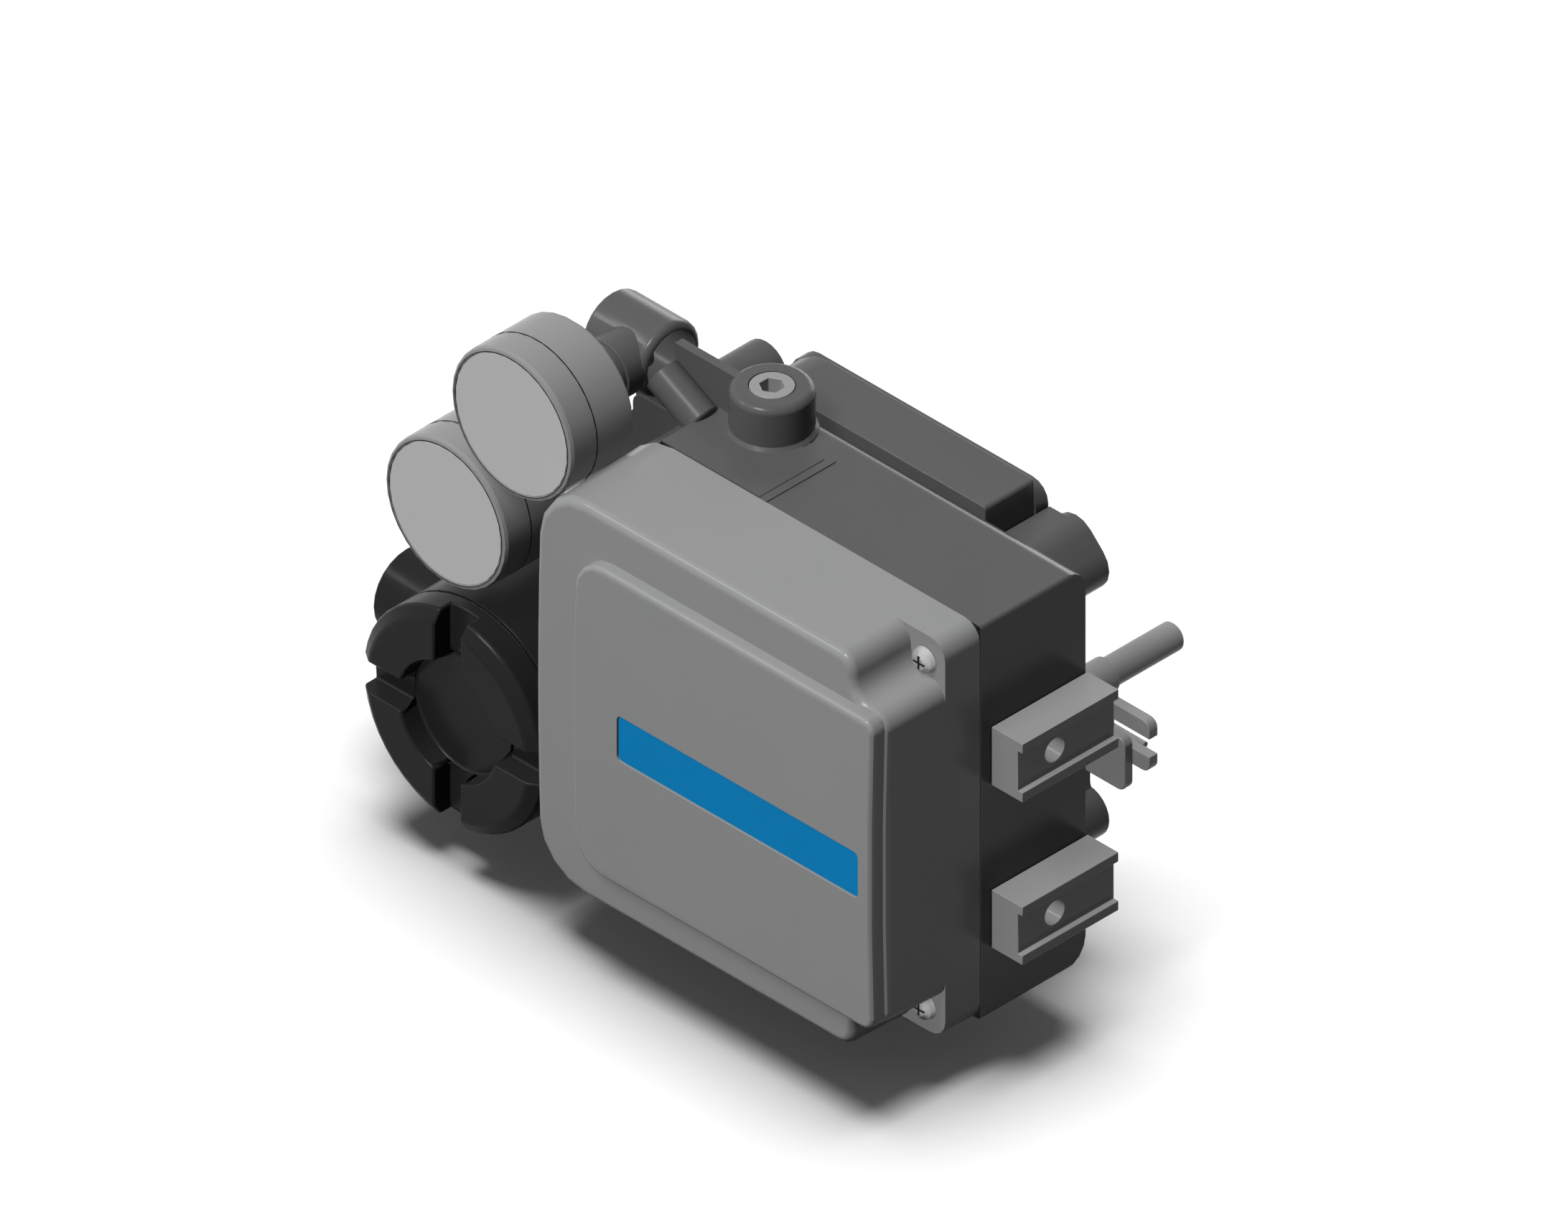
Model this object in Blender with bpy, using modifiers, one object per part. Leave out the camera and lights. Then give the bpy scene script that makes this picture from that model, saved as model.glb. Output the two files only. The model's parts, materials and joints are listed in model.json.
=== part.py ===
"""Electro-pneumatic valve positioner with two pressure gauges, a terminal box and a fork feedback lever.

Every size is in millimetres in the casting frame and is turned to metres when a mesh is made.
The casting frame has X = 0 at the casting's right side, Y = 0 at the joint between casting and
cover, and Z = 0 at the casting's underside. The front cover faces -Y and the actuator is at +Y.
One empty moves that frame so that the world origin is on the feedback shaft's axis, in the plane
of the rear mounting bosses.
"""

import math

import bmesh
import bpy
from mathutils import Matrix, Vector

MM = 0.001
SEAT = 0.3            # gap kept where one piece rests on another
RUN = 0.3             # radial gap of a turning or sliding piece

# Casting
BODY_HEIGHT = 118.0
BODY_DEPTH = 36.6
BODY_LEFT = -122.3    # left side under the gauges
WALL = 4.0
BACK_WALL = 4.6
TOP_BACK_RADIUS = 5.9
BOTTOM_BACK_RADIUS = 7.4
PAD_INSET = 11.2      # from the casting's left side to the raised pad round the port
PAD_REACH = 21.6      # from the port's axis to the pad's right side
PAD_BACK = 25.5
PAD_RISE = 0.6
PAD_CORNER = 3.0
PAD_BORDER = 2.5      # the pad's lower border at its right and back
PAD_BORDER_RISE = 0.35

# Cover
COVER_SIDE = 0.4      # cover stands this far outside the casting at the left
COVER_OVERLAP = 0.6   # and this far above and below it
COVER_LEFT = BODY_LEFT - COVER_SIDE
COVER_RIGHT = -0.1
COVER_CORNER_LEFT = 16.4
COVER_CORNER_RIGHT = 5.3
FLANGE_DEPTH = 11.75
DOME_DEPTH = 31.6
DOME_FILLET = 2.4
COVER_WALL = 3.0
COVER_CROWN = 1.33
COVER_DRAFT = 0.024
NOTCH_WIDTH = 12.0    # corner notch that leaves room for a cover screw
NOTCH_OUTER_RADIUS = 5.2
NOTCH_INNER_RADIUS = 5.8
PANEL_RISE = 3.5
PANEL_LEFT_MARGIN = 16.7
PANEL_RIGHT_MARGIN = 0.8
PANEL_MARGIN = 11.9   # from the casting's top and bottom to the panel
PANEL_CORNER_LEFT = 10.1
PANEL_CORNER_RIGHT = 4.0
PANEL_FILLET = 1.4
LABEL_LEFT_MARGIN = 33.3
LABEL_RIGHT_MARGIN = 6.2
LABEL_HEIGHT = 13.1
LABEL_DROP = 0.65     # from the shaft's axis down to the label's middle
LABEL_SINK = 1.1
LABEL_THICKNESS = 0.4
LABEL_CORNER = 1.2
GASKET_INSET = 1.6    # from the casting's outside to the gasket's groove
GASKET_DEPTH = 2.0
GASKET_WIDTH = 1.9
COVER_SCREW_INSET_X = 7.0
COVER_SCREW_INSET_Z = 7.0
COVER_SCREW_HEAD = 3.7
COVER_SCREW_RISE = 2.4
COVER_SCREW_RADIUS = 2.0
COVER_SCREW_GRIP = 9.0
SCREW_POST = 5.2

# Feedback shaft and what it carries
SHAFT_X = -23.2
SHAFT_Z = BODY_HEIGHT / 2
SHAFT_RADIUS = 3.95
SHAFT_EDGE = 0.6
SHAFT_END = 90.5
FACE_PLANE = 61.0     # plane of the rear mounting bosses
COLLAR_RADIUS = 4.85
COLLAR_END = 66.9
FORK_START = 51.9
FORK_THICKNESS = 2.9
FORK_REACH = 30.0
FORK_HEIGHT = 15.0
FORK_SLOT = 5.4
FORK_SLOT_DEPTH = 15.0
FORK_CORNER = 2.4
FORK_HUB = 10.0
STOP_THICKNESS = 2.8
STOP_REACH = 24.6
STOP_ABOVE = 1.3      # from the shaft's axis up and down to the stop plate's edges
STOP_BELOW = 14.4
SPRING_WIRE = 0.9     # radius of the wire spring behind the fork's slot
SPRING_REACH = 24.5
SPRING_DROP = 3.6     # from the shaft's axis down to the spring's straight arm
BUSH_OUTER = 6.4
HUB_RADIUS = 13.5
HUB_TIP_RADIUS = 10.5
HUB_END = 47.9

# Rear mounting bosses
BOSS_OFFSET = 0.2
BOSS_X = SHAFT_X - BOSS_OFFSET
BOSS_PITCH = 74.2
BOSS_LOWER = 0.5
BOSS_LEFT_RISE = 2.6
BOSS_RADIUS = 7.25
BOSS_SPREAD = 4.3     # the upper boss is a slot leaning 45 degrees
BOSS_NECK_LEFT = 5.8  # the lower boss's neck, from the boss's axis
BOSS_NECK_RIGHT = 0.8
BOSS_NECK_RISE = 13.4
BOSS_NECK_FILLET = 4.0
LEFT_BOSS_REACH = 12.9
LEFT_BOSS_X = BODY_LEFT - LEFT_BOSS_REACH
TAP_RADIUS = 3.4      # M8 tapping bore
TAP_DEPTH = 16.0

# Rear housing
HOUSING_SIDE = 11.9   # from the shaft's axis to the housing's right side
HOUSING_INSET = 1.9
HOUSING_ABOVE = 5.0   # from the shaft's axis up to the housing's bottom
HOUSING_RIGHT = SHAFT_X - HOUSING_SIDE
HOUSING_LEFT = BODY_LEFT + HOUSING_INSET
HOUSING_BOTTOM = SHAFT_Z + HOUSING_ABOVE
HOUSING_WALL = 9.0
HOUSING_FLOOR = 5.0
HOUSING_END = 54.0
HOUSING_CORNER = 14.4
PLATE_THICKNESS = 4.9
PLATE_DROP = 4.1
PLATE_CORNER = 5.5
SHELF_END = 58.9

# Port on the top
PORT_INSET = 26.1     # from the casting's left side to the port's axis
PORT_X = BODY_LEFT + PORT_INSET
PORT_Y = 24.0
PORT_RADIUS = 10.8
PORT_HEIGHT = 12.8
PORT_TOP = BODY_HEIGHT + PORT_HEIGHT
PORT_FILLET = 2.0
PORT_FOOT = 0.9
PORT_BORE = 6.0
PORT_ROOT = 6.0       # how far the boss reaches inside the casting's wall
PLUG_DEPTH = 11.0
PLUG_HEX = 5.7
PLUG_HEX_DEPTH = 5.0

# Gauges
GAUGE_RADIUS = 21.0
GAUGE_FRONT = -25.8
BEZEL_DEPTH = 8.9
GAUGE_DEPTH = 22.4
FACE_RADIUS = 19.85
GAUGE_WALL = 1.4
GAUGE_SIDES = 30
GAUGE_BACK_WALL = 2.5
DIAL_THICKNESS = 1.0
POINTER_LENGTH = 14.0
POINTER_TAIL = 5.0
POINTER_PIN = 1.1
POINTER_HUB = 2.4
MOVEMENT_HALF = 7.5
MOVEMENT_DEPTH = 5.2
GAUGE_ROUND = 1.2     # rounding of the bezel's front edge
GAUGE_TUCK = 0.15     # the cover's draft leaves this much room for the upper gauge
GAUGE_ANGLE = 145.5   # from the cover's corner to the upper gauge, in degrees
GAUGE_LEAN = 239.0    # from the upper gauge to the lower one, in degrees
GAUGE_CLEARANCE = 2.45
WINDOW_THICKNESS = 1.8
WINDOW_SHOULDER = 1.0
STEM_RADIUS = 6.7
STEM_THREAD = 4.6
HEAD_Y = 21.4
HEAD_RADIUS = 10.5
HEAD_LEFT = 12.4      # from the stem's axis to the closed end
HEAD_RIGHT = 8.6
HEAD_ROUND = 1.9
NECK_RADIUS = 8.5     # the head's round neck, which the stem enters
NECK_FRONT = 9.4
HEAD_END = 1.2
HEAD_BORE = 8.4
HEAD_BORE_DEPTH = 12.0
WEB_FRONT = 20.1
WEB_THICKNESS = 2.6
WEB_DROP = 0.2
WEB_TOP = PORT_TOP - WEB_DROP
WEB_START = 2.4       # from the upper head's open end to the web
WING_REACH = 18.3
WING_LEFT = BODY_LEFT - WING_REACH
WING_DROP = 14.6      # from the upper gauge's axis down to the wing's top
WING_THICKNESS = 4.0
ARM_RADIUS = 5.0
ARM_Y = 15.6
ARM_START = 2.7       # from the upper head's open end to the arm
ARM_RISE = 0.2        # from the upper gauge's axis up to the arm's start
ARM_STOP = 16.0       # from the port boss's axis to the arm's lower end

# Terminal box
BOX_RADIUS = 31.2
BOX_GAP = 2.3         # between the terminal box and the casting's left side
BOX_DROP = 6.9        # between the lower gauge and the terminal box
BOX_START = -19.1
BOX_END = WEB_FRONT - SEAT
BOX_WALL = 4.6
BOX_FLOOR = 4.5
BOX_BORE = BOX_RADIUS - BOX_WALL
BOX_X = BODY_LEFT - BOX_GAP - BOX_RADIUS
CAP_FRONT = -29.3
CAP_CHAMFER = 3.4
CAP_CHAMFER_RADIUS = BOX_RADIUS - CAP_CHAMFER
CAP_CHAMFER_DEPTH = 2.4
CAP_SLOT = 9.1
CAP_SLOT_DEPTH = 6.2
CAP_RECESS = 16.8
CAP_NECK_GAP = 1.0
CAP_NECK = BOX_BORE - CAP_NECK_GAP
CAP_NECK_LENGTH = 9.0
CAP_WALL = 3.2
SEAL_GROOVE = 1.3
SEAL_HALF = 1.4       # half of the groove's width
SEAL_PLACE = 3.2      # from the cap's rim to the middle of the seal
CONDUIT_Y = 4.7
CONDUIT_RADIUS = 11.9
CONDUIT_REACH = 48.2
CONDUIT_LEFT = BOX_X - CONDUIT_REACH
CONDUIT_EDGE = 0.8
CONDUIT_BORE = 9.3
POLES = 4             # terminals on the terminal block
POLE_PITCH = 7.5
POLE_DEPTH = 14.0
POLE_RISE = 7.6
POLE_HOLE = 1.7
POLE_SCREW = 1.5
POLE_SCREW_GRIP = 3.0
POLE_SCREW_HEAD = 2.5
POLE_SCREW_RISE = 0.9

# Side mounting blocks
BLOCK_OUT = 11.0
BLOCK_START = 3.7
BLOCK_END = 37.0
BLOCK_HEIGHT = 17.4
BLOCK_LIP = 2.8
BLOCK_CHANNEL = 1.6
BLOCK_PITCH = 48.9
BLOCK_DROP = 5.7      # from the shaft's axis down to the middle of the two blocks
BLOCK_MIDDLE = SHAFT_Z - BLOCK_DROP
BLOCK_HOLE_Y = 16.5

# Inside the casting
GEAR_MODULE = 1.2
SECTOR_TEETH = 40
PINION_TEETH = 12
GEAR_FACE = 3.0
GEAR_BACK = 24.6      # from the casting's back to the gears' front faces
GEAR_Y = BODY_DEPTH - GEAR_BACK
SHAFT_LEAD = 3.0      # how far the shaft reaches past the sector gear
SHAFT_START = GEAR_Y - SHAFT_LEAD
SECTOR_CUT = 13       # teeth cut on the sector
SECTOR_HUB = 8.0
SECTOR_HUB_LENGTH = 8.0
PINION_SHAFT = 2.0
PINION_REACH = 6.0    # how far the pinion's shaft goes into the sensor
SENSOR_RADIUS = 10.0
SENSOR_GAP = 2.0
SENSOR_X = SHAFT_X - GEAR_MODULE * (SECTOR_TEETH + PINION_TEETH) / 2
BOARD_INSET = 8.3
BOARD_GAP = 21.6      # from the sensor's axis to the board
BOARD_MARGIN = 16.0   # from the casting's bottom and top to the board
BOARD_LEFT = BODY_LEFT + BOARD_INSET
BOARD_RIGHT = SENSOR_X - BOARD_GAP
BOARD_BOTTOM = BOARD_MARGIN
BOARD_TOP = BODY_HEIGHT - BOARD_MARGIN
BOARD_EDGE = 5.0
BOARD_BACK = 24.6     # from the casting's back to the board's front face
BOARD_Y = BODY_DEPTH - BOARD_BACK
BOARD_THICKNESS = 1.6
BOARD_POST = 3.2
MOTOR_SIDE = 26.0     # from the shaft's axis to the torque motor's middle
MOTOR_MARGIN = 10.0
MOTOR_X = SHAFT_X - MOTOR_SIDE
MOTOR_TOP = BODY_HEIGHT - MOTOR_MARGIN
MOTOR_WIDTH = 34.0
MOTOR_HEIGHT = 22.0
MOTOR_DEPTH = 17.7
MOTOR_LEG = 5.0
COIL_RADIUS = 8.6
COIL_FLANGE = 1.2
COIL_CORE = 3.0
FLAPPER_THICKNESS = 1.2
FLAPPER_HALF = 4.0
NOZZLE_HEIGHT = 7.0
NOZZLE_RADIUS = 2.4
NOZZLE_TIP = 1.0
NOZZLE_INSET = 5.0    # from the yoke's right side to the nozzle
NOZZLE_TAPER = 2.0
NOZZLE_BASE = 4.0


def world_frame():
    """The empty that carries every piece and sets the world origin."""
    frame = bpy.data.objects.new("casting_frame", None)
    frame.location = (-SHAFT_X * MM, -FACE_PLANE * MM, -SHAFT_Z * MM)
    model.objects.link(frame)
    return frame


def from_bmesh(bm):
    """A new object from a bmesh in millimetres."""
    bmesh.ops.scale(bm, vec=(MM, MM, MM), verts=bm.verts)
    bmesh.ops.recalc_face_normals(bm, faces=bm.faces)
    mesh = bpy.data.meshes.new("shape")
    bm.to_mesh(mesh)
    bm.free()
    shape = bpy.data.objects.new("shape", mesh)
    workshop.objects.link(shape)
    return shape


def turn_to(axis):
    """The turn that brings +Z to an axis."""
    return {"z": Matrix(), "y": Matrix.Rotation(math.radians(-90), 4, "X"),
            "x": Matrix.Rotation(math.radians(90), 4, "Y")}[axis]


def box(x, y, z):
    """A block between two values on each axis."""
    bm = bmesh.new()
    bmesh.ops.create_cube(bm, size=1.0)
    size = (x[1] - x[0], y[1] - y[0], z[1] - z[0])
    middle = ((x[0] + x[1]) / 2, (y[0] + y[1]) / 2, (z[0] + z[1]) / 2)
    bmesh.ops.scale(bm, vec=size, verts=bm.verts)
    bmesh.ops.translate(bm, vec=middle, verts=bm.verts)
    return from_bmesh(bm)


def bar(axis, centre, radius, start, stop, sides=24, end_radius=None):
    """A round bar or cone along an axis; centre gives the two other coordinates in X, Y, Z order."""
    bm = bmesh.new()
    bmesh.ops.create_cone(bm, cap_ends=True, segments=sides, radius1=radius,
                          radius2=radius if end_radius is None else end_radius, depth=stop - start)
    bmesh.ops.translate(bm, vec=(0, 0, (start + stop) / 2), verts=bm.verts)
    bmesh.ops.transform(bm, matrix=turn_to(axis), verts=bm.verts)
    a, b = centre
    place = {"x": (0, a, b), "y": (a, 0, b), "z": (a, b, 0)}[axis]
    bmesh.ops.translate(bm, vec=place, verts=bm.verts)
    return from_bmesh(bm)


def turned(axis, centre, profile, sides=24):
    """A turned shape: a closed profile of (radius, height) points, spun with a Screw modifier."""
    mesh = bpy.data.meshes.new("profile")
    points = [(radius * MM, 0, height * MM) for radius, height in profile]
    edges = [(i, i + 1) for i in range(len(points) - 1)]
    if profile[0][0] > 0:
        edges.append((len(points) - 1, 0))
    mesh.from_pydata(points, edges, [])
    shape = bpy.data.objects.new("shape", mesh)
    workshop.objects.link(shape)
    screw = shape.modifiers.new("turn", "SCREW")
    screw.steps = screw.render_steps = sides
    screw.use_merge_vertices = True
    screw.merge_threshold = 0.000001
    apply_modifiers(shape)
    bm = bmesh.new()
    bm.from_mesh(shape.data)
    bmesh.ops.remove_doubles(bm, verts=bm.verts, dist=0.000001)
    bmesh.ops.transform(bm, matrix=turn_to(axis), verts=bm.verts)
    a, b = centre
    place = {"x": (0, a, b), "y": (a, 0, b), "z": (a, b, 0)}[axis]
    bmesh.ops.translate(bm, vec=Vector(place) * MM, verts=bm.verts)
    bmesh.ops.recalc_face_normals(bm, faces=bm.faces)
    bm.to_mesh(shape.data)
    bm.free()
    return shape


def rounded(corners, steps=4):
    """An outline with an arc at each corner; corners are (u, v, radius) in order round the shape."""
    outline = []
    count = len(corners)
    for i, (u, v, radius) in enumerate(corners):
        corner = Vector((u, v))
        if radius <= 0:
            outline.append(tuple(corner))
            continue
        before = (Vector(corners[i - 1][:2]) - corner).normalized()
        after = (Vector(corners[(i + 1) % count][:2]) - corner).normalized()
        half = before.angle(after) / 2
        reach = radius / math.tan(half)
        middle = corner + (before + after).normalized() * radius / math.sin(half)
        first = corner + before * reach - middle
        last = corner + after * reach - middle
        sweep = first.angle_signed(last)
        for k in range(steps + 1):
            turn = Matrix.Rotation(-sweep * k / steps, 2)
            outline.append(tuple(middle + turn @ first))
    return outline


def frame_corners(left, right, bottom, top, left_radius, right_radius):
    """The four corners of an upright rectangle, clockwise from the top left."""
    return [(left, top, left_radius), (right, top, right_radius),
            (right, bottom, right_radius), (left, bottom, left_radius)]


def stadium(first, last, radius, steps=8):
    """The outline round two circles of one radius."""
    facing = math.atan2(last[1] - first[1], last[0] - first[0])
    outline = []
    for centre, start in ((last, facing - math.pi / 2), (first, facing + math.pi / 2)):
        for i in range(steps + 1):
            angle = start + math.pi * i / steps
            outline.append((centre[0] + radius * math.cos(angle), centre[1] + radius * math.sin(angle)))
    return outline


def slab(axis, outline, start, stop):
    """A flat outline given depth along an axis; the outline holds the two other coordinates."""
    curve = bpy.data.curves.new("outline", "CURVE")
    curve.dimensions = "2D"
    curve.fill_mode = "BOTH"
    curve.extrude = (stop - start) / 2 * MM
    spline = curve.splines.new("POLY")
    spline.points.add(len(outline) - 1)
    for point, (u, v) in zip(spline.points, outline):
        point.co = (u * MM, v * MM, 0, 1)
    spline.use_cyclic_u = True
    drawing = bpy.data.objects.new("outline", curve)
    workshop.objects.link(drawing)
    mesh = bpy.data.meshes.new_from_object(drawing.evaluated_get(bpy.context.evaluated_depsgraph_get()))
    bpy.data.objects.remove(drawing)
    bm = bmesh.new()
    bm.from_mesh(mesh)
    bmesh.ops.remove_doubles(bm, verts=bm.verts, dist=0.000001)
    bmesh.ops.dissolve_limit(bm, angle_limit=0.0001, verts=bm.verts, edges=bm.edges)
    middle = (start + stop) / 2 * MM
    bmesh.ops.translate(bm, vec=(0, 0, middle), verts=bm.verts)
    order = {"z": Matrix(), "y": Matrix(((1, 0, 0, 0), (0, 0, 1, 0), (0, 1, 0, 0), (0, 0, 0, 1))),
             "x": Matrix(((0, 0, 1, 0), (1, 0, 0, 0), (0, 1, 0, 0), (0, 0, 0, 1)))}[axis]
    bmesh.ops.transform(bm, matrix=order, verts=bm.verts)
    bmesh.ops.recalc_face_normals(bm, faces=bm.faces)
    bm.to_mesh(mesh)
    bm.free()
    shape = bpy.data.objects.new("shape", mesh)
    workshop.objects.link(shape)
    return shape


def apply_modifiers(shape):
    """Turns a shape's modifiers into its mesh."""
    bpy.context.view_layer.update()
    result = shape.evaluated_get(bpy.context.evaluated_depsgraph_get())
    mesh = bpy.data.meshes.new_from_object(result)
    shape.modifiers.clear()
    shape.data = mesh


def combine(shape, tools, operation):
    """Joins or cuts with other shapes, which are used up."""
    for tool in tools:
        step = shape.modifiers.new("step", "BOOLEAN")
        step.operation = operation
        step.solver = "EXACT"
        step.object = tool
        apply_modifiers(shape)
        bpy.data.objects.remove(tool)
        bm = bmesh.new()
        bm.from_mesh(shape.data)
        bmesh.ops.remove_doubles(bm, verts=bm.verts, dist=0.000002)
        bmesh.ops.dissolve_degenerate(bm, edges=bm.edges, dist=0.000002)
        bm.to_mesh(shape.data)
        bm.free()
    return shape


def cut(shape, *tools):
    return combine(shape, tools, "DIFFERENCE")


def join(shape, *tools):
    return combine(shape, tools, "UNION")


def common(shape, *tools):
    return combine(shape, tools, "INTERSECT")


def ease_edges(shape, wanted, size, segments=3):
    """Rounds the sharp edges whose two ends, in millimetres, pass a test."""
    bm = bmesh.new()
    bm.from_mesh(shape.data)
    chosen = []
    for edge in bm.edges:
        sharp = edge.is_manifold and edge.calc_face_angle() > math.radians(30)
        if sharp and all(wanted(vert.co / MM) for vert in edge.verts):
            chosen.append(edge)
    bmesh.ops.bevel(bm, geom=chosen, offset=size * MM, segments=segments, profile=0.5,
                    affect="EDGES", material=-1)
    bm.to_mesh(shape.data)
    bm.free()
    return shape


def finish(name, shape, material, pivot=None):
    """Names a piece, gives it its material and its frame, and puts its origin on its pivot."""
    shape.name = name
    shape.data.name = name
    shape.data.materials.clear()
    shape.data.materials.append(material)
    if pivot is not None:
        shape.data.transform(Matrix.Translation(-Vector(pivot) * MM))
        shape.location = Vector(pivot) * MM
    shape.data.shade_smooth()
    shape.data.set_sharp_from_angle(angle=math.radians(30))
    workshop.objects.unlink(shape)
    model.objects.link(shape)
    shape.parent = frame
    return shape


def finish_material(name, colour, roughness, metallic=0.0):
    material = bpy.data.materials.new(name)
    material.use_nodes = True
    shader = material.node_tree.nodes["Principled BSDF"]
    shader.inputs["Base Color"].default_value = (*colour, 1.0)
    shader.inputs["Roughness"].default_value = roughness
    shader.inputs["Metallic"].default_value = metallic
    return material


def casting_outline(inset):
    """The casting seen from the front, drawn in by a distance."""
    return rounded(frame_corners(BODY_LEFT + inset, -inset, inset, BODY_HEIGHT - inset,
                                 max(COVER_CORNER_LEFT - COVER_OVERLAP - inset, 1.0), max(1.0 - inset, 0)))


def cover_outline(inset):
    """The cover's flange seen from the front, drawn in by a distance."""
    return rounded(frame_corners(COVER_LEFT + inset, COVER_RIGHT - inset, inset - COVER_OVERLAP,
                                 BODY_HEIGHT + COVER_OVERLAP - inset, COVER_CORNER_LEFT - inset,
                                 max(COVER_CORNER_RIGHT - inset, 1.0)))


def dome_outline(inset):
    """The cover's front part, with a notch for a screw at each right corner."""
    left, right = COVER_LEFT + inset, COVER_RIGHT - inset
    bottom, top = inset - COVER_OVERLAP, BODY_HEIGHT + COVER_OVERLAP - inset
    outer = NOTCH_OUTER_RADIUS - inset
    inner = NOTCH_INNER_RADIUS + inset
    step = right - NOTCH_WIDTH - inset
    return rounded([(left, top, COVER_CORNER_LEFT - inset),
                    (step, top, outer), (step, top - NOTCH_WIDTH, inner), (right, top - NOTCH_WIDTH, outer),
                    (right, bottom + NOTCH_WIDTH, outer), (step, bottom + NOTCH_WIDTH, inner),
                    (step, bottom, outer), (left, bottom, COVER_CORNER_LEFT - inset)])


def crowned(front, back, steps=8):
    """The side view of the cover's front: a shallow bow from bottom to top, closed at the back."""
    middle = BODY_HEIGHT / 2
    half = middle + 2 * COVER_OVERLAP
    bow = []
    for i in range(steps + 1):
        z = -half + 2 * half * i / steps
        bow.append((-front - COVER_CROWN * (1 - (z / middle) ** 2), middle + z))
    return bow + [(back, middle + half), (back, middle - half)]


def crowned_slab(outline, front, back):
    """An outline given depth, with the cover's bow on its front."""
    left, right = COVER_LEFT - COVER_OVERLAP, COVER_RIGHT + COVER_OVERLAP
    return common(slab("y", outline, -front - 5.0, back), slab("x", crowned(front, back + 5.0), left, right))


def gear_outline(centre, teeth, facing, first, count):
    """Teeth on a round: facing is the middle of the first tooth, and count is how many are cut."""
    pitch_radius = GEAR_MODULE * teeth / 2
    pitch = 2 * math.pi / teeth
    outline = []
    for i in range(count):
        middle = facing + (first + i) * pitch
        for share, radius in ((-0.30, -1.15), (-0.10, 0.8), (0.10, 0.8), (0.30, -1.15)):
            angle = middle + share * pitch
            reach = pitch_radius + radius * GEAR_MODULE
            outline.append((centre[0] + reach * math.cos(angle), centre[1] + reach * math.sin(angle)))
    return outline


def gauge_places():
    """Where the gauges are, in X and Z: the upper one clears the cover's corner, the lower one the upper."""
    turn, lean = math.radians(GAUGE_ANGLE), math.radians(GAUGE_LEAN)
    corner = Vector((COVER_LEFT + COVER_CORNER_LEFT, BODY_HEIGHT + COVER_OVERLAP - COVER_CORNER_LEFT))
    reach = COVER_CORNER_LEFT + GAUGE_RADIUS - GAUGE_TUCK
    upper = corner + reach * Vector((math.cos(turn), math.sin(turn)))
    lower = upper + (2 * GAUGE_RADIUS + GAUGE_CLEARANCE) * Vector((math.cos(lean), math.sin(lean)))
    return tuple(upper), tuple(lower)


def build_casting():
    """The die-cast housing with its port boss, gauge arms and rear mounting bosses."""
    shape = slab("y", casting_outline(0), SEAT, BODY_DEPTH + 1)
    side = rounded([(-1, BODY_HEIGHT, 0), (BODY_DEPTH, BODY_HEIGHT, TOP_BACK_RADIUS),
                    (BODY_DEPTH, 0, BOTTOM_BACK_RADIUS), (-1, 0, 0)])
    shape = common(shape, slab("x", side, BODY_LEFT - 1, 1))
    shape = cut(shape, slab("y", casting_outline(WALL), -1, BODY_DEPTH - BACK_WALL))
    adds = [pad_round_port(), port_boss(), web_plate(), wing_plate(), gauge_arm()]
    adds += [gauge_head(*UPPER_GAUGE), upper_web(), gauge_head(*LOWER_GAUGE), lower_web()]
    adds += rear_bosses() + [shaft_hub()] + screw_posts() + board_posts()
    shape = join(shape, *adds)
    shape = cut(shape, slab("y", casting_outline(GASKET_INSET), -1, SEAT + GASKET_DEPTH))
    holes = [bar("z", (PORT_X, PORT_Y), PORT_BORE, PORT_TOP - PLUG_DEPTH - 1.5, PORT_TOP + 1)]
    for x, z in (UPPER_GAUGE, LOWER_GAUGE):
        right = x + HEAD_RIGHT
        holes.append(bar("x", (HEAD_Y, z), HEAD_BORE, right - HEAD_BORE_DEPTH, right + 1))
        holes.append(bar("y", (x, z), STEM_THREAD + SEAT, NECK_FRONT - 1, HEAD_Y, 24))
    for x, z in boss_places():
        holes.append(bar("y", (x, z), TAP_RADIUS, FACE_PLANE - TAP_DEPTH, FACE_PLANE + 1, 24))
    holes.append(bar("y", (SHAFT_X, SHAFT_Z), BUSH_OUTER + SEAT, BODY_DEPTH - BACK_WALL - 1, HUB_END + 1))
    for x, z in cover_screw_places():
        holes.append(bar("y", (x, z), COVER_SCREW_RADIUS + SEAT, -1, SEAT + COVER_SCREW_GRIP + 1, 20))
    shape = cut(shape, *holes)
    finish("casting", shape, dark_paint)


def pad_round_port():
    """The flat pad on the top that the port boss stands on."""
    left, right = BODY_LEFT + PAD_INSET, PORT_X + PAD_REACH
    front = SEAT + 0.1
    low = BODY_HEIGHT - WALL / 2
    border = slab("z", rounded([(left, front, 0), (right, front, 0), (right, PAD_BACK, PAD_CORNER / 2),
                                (left, PAD_BACK, 0)]), low, BODY_HEIGHT + PAD_BORDER_RISE)
    inner_right, inner_back = right - PAD_BORDER, PAD_BACK - PAD_BORDER
    inner = slab("z", [(left + 0.1, front + 0.1), (inner_right, front + 0.1), (inner_right, inner_back),
                       (left + 0.1, inner_back)], low + 0.1, BODY_HEIGHT + PAD_RISE)
    return join(border, inner)


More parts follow.
